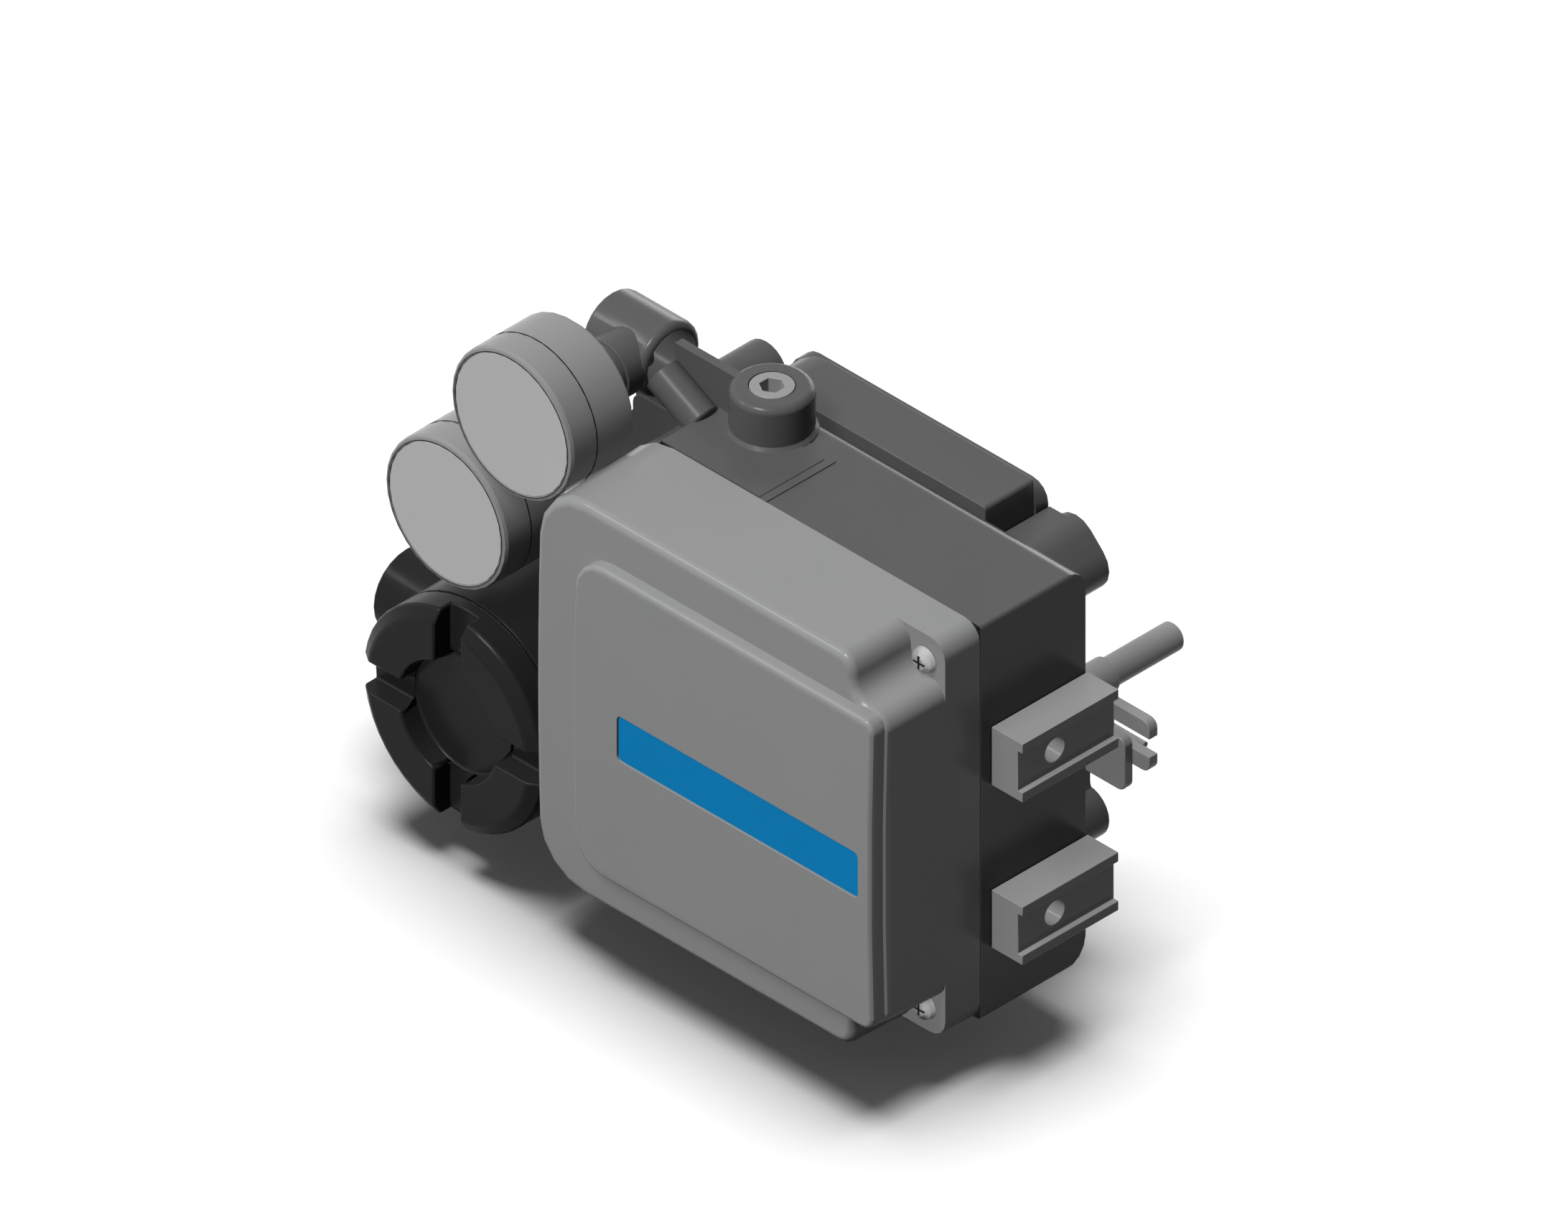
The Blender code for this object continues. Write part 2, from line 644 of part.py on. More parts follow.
def port_boss():
    """The round boss of the supply port."""
    low = BODY_HEIGHT - WALL
    profile = [(0, PORT_TOP)]
    steps = 4
    for i in range(steps + 1):
        angle = math.pi / 2 * i / steps
        profile.append((PORT_RADIUS - PORT_FILLET + PORT_FILLET * math.sin(angle),
                        PORT_TOP - PORT_FILLET + PORT_FILLET * math.cos(angle)))
    foot = BODY_HEIGHT + PAD_RISE
    profile += [(PORT_RADIUS, foot + PORT_FOOT), (PORT_RADIUS + PORT_FOOT, foot - 0.1),
                (PORT_RADIUS + PORT_FOOT, low - PORT_ROOT), (0, low - PORT_ROOT)]
    return turned("z", (PORT_X, PORT_Y), profile)


def web_plate():
    """The upright web from the port boss to the upper gauge head."""
    x, z = UPPER_GAUGE
    left = x + HEAD_RIGHT + WEB_START
    low = BODY_HEIGHT - 2 * WALL
    return slab("y", [(left, WEB_TOP), (PORT_X, WEB_TOP), (PORT_X, BODY_HEIGHT - WALL / 2),
                      (BODY_LEFT + 2 * WALL, low), (left, low)], WEB_FRONT, WEB_FRONT + WEB_THICKNESS)


def wing_plate():
    """The flat wing behind the gauges and the terminal box."""
    right = BODY_LEFT + WALL / 2
    top, low = UPPER_GAUGE[1] - WING_DROP, BOTTOM_BACK_RADIUS + WALL
    outline = rounded([(WING_LEFT, top, 3.0), (right, top, 0), (right, low, 0), (WING_LEFT, low, 3.0)])
    return slab("y", outline, WEB_FRONT, WEB_FRONT + WING_THICKNESS)


def gauge_head(x, z):
    """The elbow behind a gauge: a round bar across, with a neck that the stem screws into."""
    left, right = x - HEAD_LEFT, x + HEAD_RIGHT
    steps = 3
    profile = [(0, right)]
    for i in range(steps + 1):
        angle = math.pi / 2 * i / steps
        profile.append((HEAD_RADIUS - HEAD_ROUND + HEAD_ROUND * math.sin(angle),
                        right - HEAD_ROUND * (1 - math.cos(angle))))
    for i in range(steps + 1):
        angle = math.pi / 2 * i / steps
        profile.append((HEAD_RADIUS - HEAD_END + HEAD_END * math.cos(angle),
                        left + HEAD_END - HEAD_END * math.sin(angle)))
    profile.append((0, left))
    return join(turned("x", (HEAD_Y, z), profile, 24), bar("y", (x, z), NECK_RADIUS, NECK_FRONT, HEAD_Y, 24))


def upper_web():
    """The short web that stands on the wing plate and carries the upper gauge head."""
    x, z = UPPER_GAUGE
    return box((x - 3.0, x + 6.0), (WEB_FRONT + 0.5, WEB_FRONT + WING_THICKNESS - 0.5),
               (z - WING_DROP - 3.0, z - HEAD_BORE + 1.0))


def lower_web():
    """The short web between the wing plate and the lower gauge head."""
    x, z = LOWER_GAUGE
    half = HEAD_RADIUS - 0.8
    return box((x + HEAD_RIGHT - 4.0, WING_LEFT + 4.0), (WEB_FRONT + 0.5, WEB_FRONT + WING_THICKNESS - 0.5),
               (z - half, z + half))


def gauge_arm():
    """The round arm that slants from the upper gauge head down to the casting."""
    start = Vector((UPPER_GAUGE[0] + HEAD_RIGHT + ARM_START, ARM_Y, UPPER_GAUGE[1] + ARM_RISE))
    stop = Vector((PORT_X - ARM_STOP, ARM_Y, BODY_HEIGHT - 1.5))
    bm = bmesh.new()
    bmesh.ops.create_cone(bm, cap_ends=True, segments=24, radius1=ARM_RADIUS, radius2=ARM_RADIUS,
                          depth=(stop - start).length)
    turn = (stop - start).to_track_quat("Z", "Y").to_matrix().to_4x4()
    bmesh.ops.transform(bm, matrix=Matrix.Translation((start + stop) / 2) @ turn, verts=bm.verts)
    return from_bmesh(bm)


def boss_places():
    """Where the rear mounting bosses are, in X and Z."""
    low = SHAFT_Z - BOSS_PITCH / 2 - BOSS_LOWER
    high = SHAFT_Z + BOSS_PITCH / 2
    return [(BOSS_X, high), (BOSS_X, low), (LEFT_BOSS_X, high + BOSS_LEFT_RISE)]


def rear_bosses():
    """The upper right boss is a slot shape, the other two are round."""
    inner = BODY_DEPTH - BACK_WALL + 1
    high, low, left = boss_places()
    bosses = [slab("y", stadium(high, (high[0] - BOSS_SPREAD, high[1] + BOSS_SPREAD), BOSS_RADIUS), inner,
                   FACE_PLANE),
              bar("y", low, BOSS_RADIUS, inner, FACE_PLANE),
              bar("y", left, BOSS_RADIUS, WEB_FRONT + 0.5, FACE_PLANE)]
    bosses.append(boss_neck(*low))
    shelf_right = high[0] - BOSS_SPREAD
    bosses.append(box((HOUSING_RIGHT + SEAT, shelf_right), (inner + 0.5, SHELF_END),
                      (high[1], high[1] + BOSS_SPREAD + BOSS_RADIUS)))
    return bosses


def boss_neck(x, z):
    """The upright neck that runs down into the lower right boss."""
    left, right = x - BOSS_NECK_LEFT, x + BOSS_NECK_RIGHT
    foot = z + BOSS_RADIUS - 0.5
    side = (x + 0.8 * BOSS_RADIUS, z + BOSS_RADIUS / 2)
    outline = rounded([(left, z + BOSS_NECK_RISE, 0), (right, z + BOSS_NECK_RISE, 0),
                       (right, foot, BOSS_NECK_FILLET), (*side, 0), (x, z, 0), (left, z, 0)])
    return slab("y", outline, BODY_DEPTH - BACK_WALL + 1.3, FACE_PLANE - 0.2)


def shaft_hub():
    """The hub on the rear that holds the shaft's bush."""
    return turned("y", (SHAFT_X, SHAFT_Z), [(0, HUB_END), (HUB_TIP_RADIUS, HUB_END),
                                            (HUB_RADIUS, BODY_DEPTH - 0.5),
                                            (HUB_RADIUS, BODY_DEPTH - BACK_WALL + 1),
                                            (0, BODY_DEPTH - BACK_WALL + 1)])


def cover_screw_places():
    return [(-COVER_SCREW_INSET_X, BODY_HEIGHT - COVER_SCREW_INSET_Z),
            (-COVER_SCREW_INSET_X, COVER_SCREW_INSET_Z)]


def screw_posts():
    """Solid corners behind the cover screws."""
    return [bar("y", (x, z), SCREW_POST, SEAT + 0.5, BODY_DEPTH - BACK_WALL + 1)
            for x, z in cover_screw_places()]


def board_places():
    return [(x, z) for x in (BOARD_LEFT + BOARD_EDGE, BOARD_RIGHT - BOARD_EDGE)
            for z in (BOARD_BOTTOM + BOARD_EDGE, BOARD_TOP - BOARD_EDGE)]


def board_posts():
    """Posts that the circuit board is screwed to."""
    return [bar("y", (x, z), BOARD_POST, BOARD_Y + BOARD_THICKNESS + SEAT, BODY_DEPTH - BACK_WALL + 1, 16)
            for x, z in board_places()]


def build_cover():
    """The moulded front cover, open at the back, with a raised panel and a pocket for its label."""
    shape = crowned_slab(cover_outline(0), DOME_DEPTH, 0)
    shape = cut(shape, *corner_notches())
    shape = ease_edges(shape, lambda point: point.y < -DOME_DEPTH + 0.1, DOME_FILLET)
    panel = rounded(panel_corners(0))
    raised = crowned_slab(panel, DOME_DEPTH + PANEL_RISE, -DOME_DEPTH + 2.0)
    raised = ease_edges(raised, lambda point: point.y < -DOME_DEPTH - PANEL_RISE + 0.1, PANEL_FILLET)
    shape = join(shape, raised)
    hollow = crowned_slab(dome_outline(COVER_WALL), DOME_DEPTH - COVER_WALL, 1.0)
    hollow = join(hollow, crowned_slab(rounded(panel_corners(COVER_WALL)),
                                       DOME_DEPTH + PANEL_RISE - COVER_WALL, -DOME_DEPTH + COVER_WALL + 2))
    shape = cut(shape, hollow)
    shape = draw_in(shape)
    label_front = panel_front()
    pocket = slab("y", rounded(label_corners(-SEAT)), label_front - 2, label_front + LABEL_SINK)
    screws = [bar("y", (x, z), COVER_SCREW_RADIUS + SEAT, -FLANGE_DEPTH - 1, 1, 20)
              for x, z in cover_screw_places()]
    shape = cut(shape, pocket, *screws)
    finish("front_cover", shape, light_paint)


def corner_notches():
    """What is cut away round the two cover screws, in front of the flange."""
    past = NOTCH_WIDTH
    step = COVER_RIGHT - NOTCH_WIDTH - 2 * NOTCH_OUTER_RADIUS
    top = BODY_HEIGHT + COVER_OVERLAP - NOTCH_WIDTH - 2 * NOTCH_OUTER_RADIUS
    corners = []
    for low, high in ((top, BODY_HEIGHT + past), (-past, BODY_HEIGHT - top)):
        corner = box((step, COVER_RIGHT + past), (-DOME_DEPTH - past, -FLANGE_DEPTH), (low, high))
        corners.append(cut(corner, slab("y", dome_outline(-0.02), -DOME_DEPTH - 2 * past, past)))
    return corners


def draw_in(shape):
    """Gives the cover its draft: it narrows towards the front."""
    middle = ((COVER_LEFT + COVER_RIGHT) / 2, BODY_HEIGHT / 2)
    half = ((COVER_RIGHT - COVER_LEFT) / 2, BODY_HEIGHT / 2 + COVER_OVERLAP)
    for vert in shape.data.vertices:
        depth = max(-vert.co.y, 0)
        vert.co.x -= depth * COVER_DRAFT * (vert.co.x / MM - middle[0]) / half[0]
        vert.co.z -= depth * COVER_DRAFT * (vert.co.z / MM - middle[1]) / half[1]
    return shape


def panel_corners(inset):
    left, right = COVER_LEFT + PANEL_LEFT_MARGIN, COVER_RIGHT - PANEL_RIGHT_MARGIN
    low, high = PANEL_MARGIN, BODY_HEIGHT - PANEL_MARGIN
    return frame_corners(left + inset, right - inset, low + inset, high - inset,
                         PANEL_CORNER_LEFT - inset, PANEL_CORNER_RIGHT - inset)


def panel_front():
    return -DOME_DEPTH - PANEL_RISE - COVER_CROWN


def label_corners(inset):
    left, right = COVER_LEFT + LABEL_LEFT_MARGIN, COVER_RIGHT - LABEL_RIGHT_MARGIN
    middle, half = SHAFT_Z - LABEL_DROP, LABEL_HEIGHT / 2
    return frame_corners(left + inset, right - inset, middle - half + inset, middle + half - inset,
                         LABEL_CORNER - inset, LABEL_CORNER - inset)


def build_label():
    back = panel_front() + LABEL_SINK - SEAT
    finish("cover_label", slab("y", rounded(label_corners(0)), back - LABEL_THICKNESS, back), blue_film)


def build_gasket():
    shape = slab("y", casting_outline(GASKET_INSET + SEAT), SEAT, SEAT + GASKET_DEPTH - SEAT)
    shape = cut(shape, slab("y", casting_outline(GASKET_INSET + SEAT + GASKET_WIDTH), -1, BODY_DEPTH))
    finish("cover_gasket", shape, black_rubber)


def build_cover_screws():
    """Round-headed screws in the two right corners."""
    for name, (x, z) in zip(("cover_screw_upper", "cover_screw_lower"), cover_screw_places()):
        seat = -FLANGE_DEPTH - SEAT
        top = seat - COVER_SCREW_RISE
        shape = turned("y", (x, z), [(0, COVER_SCREW_GRIP), (COVER_SCREW_RADIUS, COVER_SCREW_GRIP),
                                     (COVER_SCREW_RADIUS, seat), (COVER_SCREW_HEAD, seat),
                                     (COVER_SCREW_HEAD * 0.88, seat - COVER_SCREW_RISE * 0.6),
                                     (COVER_SCREW_HEAD * 0.5, top), (0, top)], 24)
        reach = COVER_SCREW_HEAD * 0.55
        shape = cut(shape, box((x - reach, x + reach), (top - 1, top + 1.0), (z - 0.4, z + 0.4)),
                    box((x - 0.4, x + 0.4), (top - 1, top + 1.0), (z - reach, z + reach)))
        finish(name, shape, zinc)


def build_side_blocks():
    """Channel-shaped mounting blocks on the right side."""
    for name, middle in (("side_block_upper", BLOCK_MIDDLE + BLOCK_PITCH / 2),
                         ("side_block_lower", BLOCK_MIDDLE - BLOCK_PITCH / 2)):
        low, high = middle - BLOCK_HEIGHT / 2, middle + BLOCK_HEIGHT / 2
        floor = BLOCK_OUT - BLOCK_CHANNEL
        shape = slab("y", [(SEAT, low), (BLOCK_OUT, low), (BLOCK_OUT, low + BLOCK_LIP),
                           (floor, low + BLOCK_LIP), (floor, high - BLOCK_LIP),
                           (BLOCK_OUT, high - BLOCK_LIP), (BLOCK_OUT, high), (SEAT, high)],
                     BLOCK_START, BLOCK_END)
        shape = cut(shape, bar("x", (BLOCK_HOLE_Y, middle), TAP_RADIUS, -1, BLOCK_OUT + 1, 24))
        finish(name, shape, light_paint)


def build_port_plug():
    """The plug in the top port, flush with the boss, with a hexagon socket."""
    low = PORT_TOP - PLUG_DEPTH
    shape = bar("z", (PORT_X, PORT_Y), PORT_BORE - SEAT, low, PORT_TOP)
    socket = bar("z", (PORT_X, PORT_Y), PLUG_HEX / 2 / math.cos(math.pi / 6), PORT_TOP - PLUG_HEX_DEPTH,
                 PORT_TOP + 1, 6)
    finish("port_plug", cut(shape, socket), steel)


def build_rear_housing():
    """The pilot relay's housing on the rear and its end plate."""
    start = BODY_DEPTH + SEAT
    block = slab("y", rounded([(HOUSING_LEFT, BODY_HEIGHT, HOUSING_CORNER),
                               (HOUSING_RIGHT, BODY_HEIGHT, 1.0), (HOUSING_RIGHT, HOUSING_BOTTOM, 3.0),
                               (HOUSING_LEFT, HOUSING_BOTTOM, 3.0)]),
                 start, HOUSING_END)
    left, right = HOUSING_LEFT + HOUSING_WALL, HOUSING_RIGHT - HOUSING_WALL
    low, high = HOUSING_BOTTOM + HOUSING_WALL, BODY_HEIGHT - HOUSING_WALL
    hollow = rounded([(left, high, HOUSING_CORNER - HOUSING_WALL / 2), (right, high, 3.0), (right, low, 3.0),
                      (left, low, 3.0)])
    chamber = slab("y", hollow, start + HOUSING_FLOOR, HOUSING_END + 1)
    finish("rear_housing", cut(block, chamber), dark_paint)
    top = BODY_HEIGHT - PLATE_DROP
    plate = slab("y", rounded([(HOUSING_LEFT + 0.4, top, PLATE_CORNER), (HOUSING_RIGHT, top, PLATE_CORNER),
                               (HOUSING_RIGHT, HOUSING_BOTTOM + PLATE_DROP, PLATE_CORNER),
                               (HOUSING_LEFT + 0.4, HOUSING_BOTTOM + PLATE_DROP, PLATE_CORNER)]),
                 HOUSING_END + SEAT, HOUSING_END + PLATE_THICKNESS)
    finish("rear_plate", plate, dark_paint)


def build_gauge(name, x, z):
    """A round pressure gauge: case with stem, bezel, window, dial and pointer."""
    back = GAUGE_FRONT + GAUGE_DEPTH
    split = GAUGE_FRONT + BEZEL_DEPTH
    edge = GAUGE_RADIUS
    bore = edge - GAUGE_WALL
    floor = back - GAUGE_BACK_WALL
    stem_end = NECK_FRONT - SEAT
    shape = turned("y", (x, z), [(0, stem_end), (STEM_RADIUS, stem_end), (STEM_RADIUS, back),
                                 (edge - GAUGE_ROUND, back), (edge, back - GAUGE_ROUND),
                                 (edge, split + SEAT), (bore, split + SEAT), (bore, floor), (0, floor)],
                   GAUGE_SIDES)
    thread = bar("y", (x, z), STEM_THREAD, stem_end - 1, HEAD_Y - 2.0, 20)
    finish(name + "_case", join(shape, thread), gauge_grey)
    build_gauge_front(name, x, z, bore, split)
    build_gauge_works(name, x, z, bore, split, floor)


def build_gauge_front(name, x, z, bore, split):
    """The bezel with its rounded front edge, and the window that snaps in against a shoulder."""
    steps = 2
    profile = [(GAUGE_RADIUS, split)]
    for i in range(steps + 1):
        angle = math.pi / 2 * i / steps
        profile.append((GAUGE_RADIUS - GAUGE_ROUND * (1 - math.cos(angle)),
                        GAUGE_FRONT + GAUGE_ROUND * (1 - math.sin(angle))))
    mouth = FACE_RADIUS - SEAT
    seat = GAUGE_FRONT + WINDOW_THICKNESS + 2 * SEAT
    profile += [(mouth, GAUGE_FRONT), (mouth, seat), (mouth - WINDOW_SHOULDER, seat),
                (mouth - WINDOW_SHOULDER, seat + 1.0), (bore, seat + 1.0), (bore, split)]
    finish(name + "_bezel", turned("y", (x, z), profile, GAUGE_SIDES), gauge_grey)
    front = GAUGE_FRONT + SEAT / 2
    window = bar("y", (x, z), mouth - SEAT, front, front + WINDOW_THICKNESS, GAUGE_SIDES)
    finish(name + "_lens", window, lens_glass)


def build_gauge_works(name, x, z, bore, split, floor):
    """The dial, the pointer on its pin and the movement behind the dial."""
    dial_y = split + SEAT
    hole = POINTER_PIN + RUN
    dial = bar("y", (x, z), bore - SEAT, dial_y, dial_y + DIAL_THICKNESS, GAUGE_SIDES)
    dial = cut(dial, bar("y", (x, z), hole, dial_y - 1, dial_y + DIAL_THICKNESS + 1, 16))
    finish(name + "_dial", dial, dial_white)
    turn = math.radians(225)
    along = Vector((math.cos(turn), math.sin(turn)))
    across = Vector((-along.y, along.x))
    tip, tail = along * POINTER_LENGTH, -along * POINTER_TAIL
    narrow, wide = across * 0.4, across * POINTER_PIN
    corners = (tip + narrow, tip - narrow, tail - wide, tail + wide)
    blade = slab("y", [(x + p.x, z + p.y) for p in corners], dial_y - 1.6, dial_y - 0.9)
    pin_end = floor - SEAT - MOVEMENT_DEPTH / 2
    pin = bar("y", (x, z), POINTER_PIN, dial_y - 2.0, pin_end, 16)
    pointer = join(blade, pin, bar("y", (x, z), POINTER_HUB, dial_y - 2.0, dial_y - 0.5, 16))
    finish(name + "_pointer", pointer, black_plastic, (x, dial_y, z))
    movement_front = floor - SEAT - MOVEMENT_DEPTH
    movement = box((x - MOVEMENT_HALF, x + MOVEMENT_HALF), (movement_front, floor - SEAT),
                   (z - MOVEMENT_HALF, z + MOVEMENT_HALF))
    movement = cut(movement, bar("y", (x, z), hole, movement_front - 1, pin_end + RUN, 16))
    finish(name + "_movement", movement, brass)


def build_terminal_box():
    """The round terminal housing with its conduit entry, screw cap and seal."""
    sides = 44
    shape = bar("y", (BOX_X, BOX_Z), BOX_RADIUS, BOX_START, BOX_END, sides)
    profile = [(0, BOX_X), (CONDUIT_RADIUS, BOX_X), (CONDUIT_RADIUS, CONDUIT_LEFT + CONDUIT_EDGE),
               (CONDUIT_RADIUS - CONDUIT_EDGE, CONDUIT_LEFT), (0, CONDUIT_LEFT)]
    conduit = turned("x", (CONDUIT_Y, BOX_Z), profile)
    shape = join(shape, conduit)
    shape = cut(shape, bar("y", (BOX_X, BOX_Z), BOX_BORE, BOX_START - 1, BOX_END - BOX_FLOOR, sides),
                bar("x", (CONDUIT_Y, BOX_Z), CONDUIT_BORE, CONDUIT_LEFT - 1, BOX_X))
    finish("terminal_box", shape, box_paint)
    rim = BOX_START - SEAT
    floor = CAP_FRONT + CAP_SLOT_DEPTH
    seal_y = rim + SEAL_PLACE
    profile = [(0, CAP_FRONT), (CAP_CHAMFER_RADIUS, CAP_FRONT), (BOX_RADIUS, CAP_FRONT + CAP_CHAMFER_DEPTH),
               (BOX_RADIUS, rim), (CAP_NECK, rim), (CAP_NECK, seal_y - SEAL_HALF),
               (CAP_NECK - SEAL_GROOVE, seal_y - SEAL_HALF), (CAP_NECK - SEAL_GROOVE, seal_y + SEAL_HALF),
               (CAP_NECK, seal_y + SEAL_HALF), (CAP_NECK, rim + CAP_NECK_LENGTH),
               (CAP_NECK - CAP_WALL, rim + CAP_NECK_LENGTH), (CAP_NECK - CAP_WALL, floor + CAP_WALL),
               (0, floor + CAP_WALL)]
    cap = turned("y", (BOX_X, BOX_Z), profile, sides)
    half = CAP_SLOT / 2
    far = BOX_RADIUS + 1
    cross = [(half, half), (far, half), (far, -half), (half, -half), (half, -far), (-half, -far),
             (-half, -half), (-far, -half), (-far, half), (-half, half), (-half, far), (half, far)]
    cap = cut(cap, bar("y", (BOX_X, BOX_Z), CAP_RECESS, CAP_FRONT - 1, floor + 0.06, 36),
              slab("y", [(BOX_X + u, BOX_Z + v) for u, v in cross], CAP_FRONT - 2, floor))
    finish("terminal_cap", cap, box_paint, (BOX_X, rim, BOX_Z))
    inner, outer = CAP_NECK - SEAL_GROOVE + SEAT, BOX_BORE - SEAT
    radius = (outer - inner) / 2
    angles = [math.pi * i / 3 for i in range(6)]
    section = [((inner + outer) / 2 + radius * math.cos(angle), seal_y + radius * math.sin(angle))
               for angle in angles]
    finish("cap_seal", turned("y", (BOX_X, BOX_Z), section, 32), black_rubber, (BOX_X, seal_y, BOX_Z))


def build_terminals():
    """The terminal block on the floor of the terminal box, and its clamp screws."""
    back = BOX_END - BOX_FLOOR - SEAT
    front = back - POLE_RISE
    half = POLES * POLE_PITCH / 2
    places = [BOX_X - half + POLE_PITCH * (i + 0.5) for i in range(POLES)]
    block = box((BOX_X - half, BOX_X + half), (front, back),
                (BOX_Z - POLE_DEPTH / 2, BOX_Z + POLE_DEPTH / 2))
    holes = []
    for x in places:
        wire_y = back - POLE_HOLE - 1.0
        holes.append(bar("z", (x, wire_y), POLE_HOLE, BOX_Z - POLE_DEPTH, BOX_Z + POLE_DEPTH, 12))
        holes.append(bar("y", (x, BOX_Z), POLE_SCREW + SEAT, front - 1, back - 2 * POLE_HOLE, 12))
    finish("terminal_block", cut(block, *holes), black_plastic)
    for number, x in enumerate(places, 1):
        seat = front - SEAT
        top = seat - POLE_SCREW_RISE
        end = front + POLE_SCREW_GRIP
        screw = turned("y", (x, BOX_Z), [(0, end), (POLE_SCREW, end), (POLE_SCREW, seat),
                                         (POLE_SCREW_HEAD, seat), (POLE_SCREW_HEAD, top), (0, top)], 12)
        screw = cut(screw, box((x - 0.4, x + 0.4), (top - 1, top + 0.5), (BOX_Z - 5, BOX_Z + 5)))
        finish(f"terminal_screw_{number}", screw, zinc)


def build_shaft():
    """The feedback shaft with its collar, fork plate and stop plate."""
    pivot = (SHAFT_X, FACE_PLANE, SHAFT_Z)
    place = (SHAFT_X, SHAFT_Z)
    tip = SHAFT_RADIUS - SHAFT_EDGE
    profile = [(0, SHAFT_END), (tip, SHAFT_END), (SHAFT_RADIUS, SHAFT_END - SHAFT_EDGE),
               (SHAFT_RADIUS, SHAFT_START + SHAFT_EDGE), (tip, SHAFT_START), (0, SHAFT_START)]
    shaft = turned("y", place, profile)
    finish("feedback_shaft", shaft, steel, pivot)
    bore = SHAFT_RADIUS + SEAT
    fork_end = FORK_START + FORK_THICKNESS
    collar_start = fork_end + SEAT
    collar = turned("y", place, [(bore, COLLAR_END), (COLLAR_RADIUS, COLLAR_END),
                                 (COLLAR_RADIUS, collar_start), (bore, collar_start)])
    finish("shaft_collar", collar, steel, pivot)
    right = SHAFT_X + FORK_REACH
    half = FORK_HEIGHT / 2
    fork = slab("y", rounded([(SHAFT_X, SHAFT_Z + half, 0), (right, SHAFT_Z + half, FORK_CORNER),
                              (right, SHAFT_Z - half, FORK_CORNER), (SHAFT_X, SHAFT_Z - half, 0)]),
                FORK_START, fork_end)
    fork = join(fork, bar("y", place, FORK_HUB, FORK_START, fork_end))
    fork = cut(fork, bar("y", place, bore, FORK_START - 1, fork_end + 1),
               box((right - FORK_SLOT_DEPTH, right + 1), (FORK_START - 1, fork_end + 1),
                   (SHAFT_Z - FORK_SLOT / 2, SHAFT_Z + FORK_SLOT / 2)))
    finish("fork_plate", fork, steel, pivot)
    stop_end = FORK_START - SEAT
    stop_start = stop_end - STOP_THICKNESS
    right = SHAFT_X + STOP_REACH
    top, low = SHAFT_Z + STOP_ABOVE, SHAFT_Z - STOP_BELOW
    stop = slab("y", rounded([(SHAFT_X, top, 0), (right, top, FORK_CORNER), (right, low, FORK_CORNER),
                              (SHAFT_X, low, 0)]), stop_start, stop_end)
    stop = join(stop, bar("y", place, FORK_HUB, stop_start, stop_end))
    finish("stop_plate", cut(stop, bar("y", place, bore, stop_start - 1, stop_end + 1)), steel, pivot)
    bush = turned("y", place, [(bore, HUB_END), (BUSH_OUTER, HUB_END), (BUSH_OUTER, BODY_DEPTH - BACK_WALL),
                               (bore, BODY_DEPTH - BACK_WALL)])
    finish("shaft_bush", bush, brass)


def build_slot_spring():
    """The wire spring that presses the drive pin against the fork: an eye round the collar, and an arm."""
    eye = COLLAR_RADIUS + SEAT + SPRING_WIRE
    centre = FORK_START + FORK_THICKNESS + SEAT + SPRING_WIRE
    points = []
    first, last, steps = math.radians(60), math.radians(320), 13
    for i in range(steps + 1):
        angle = first + (last - first) * i / steps
        points.append((eye * math.cos(angle), eye * math.sin(angle)))
    points += [(eye + 3.0, -SPRING_DROP), (SPRING_REACH, -SPRING_DROP)]
    curve = bpy.data.curves.new("wire", "CURVE")
    curve.dimensions = "3D"
    curve.bevel_depth = SPRING_WIRE * MM
    curve.bevel_resolution = 2
    curve.use_fill_caps = True
    spline = curve.splines.new("POLY")
    spline.points.add(len(points) - 1)
    for point, (u, v) in zip(spline.points, points):
        point.co = ((SHAFT_X + u) * MM, centre * MM, (SHAFT_Z + v) * MM, 1)
    wire = bpy.data.objects.new("wire", curve)
    workshop.objects.link(wire)
    mesh = bpy.data.meshes.new_from_object(wire.evaluated_get(bpy.context.evaluated_depsgraph_get()))
    bpy.data.objects.remove(wire)
    bm = bmesh.new()
    bm.from_mesh(mesh)
    bmesh.ops.remove_doubles(bm, verts=bm.verts, dist=0.000001)
    bmesh.ops.recalc_face_normals(bm, faces=bm.faces)
    bm.to_mesh(mesh)
    bm.free()
    shape = bpy.data.objects.new("shape", mesh)
    workshop.objects.link(shape)
    finish("slot_spring", shape, steel, (SHAFT_X, FACE_PLANE, SHAFT_Z))


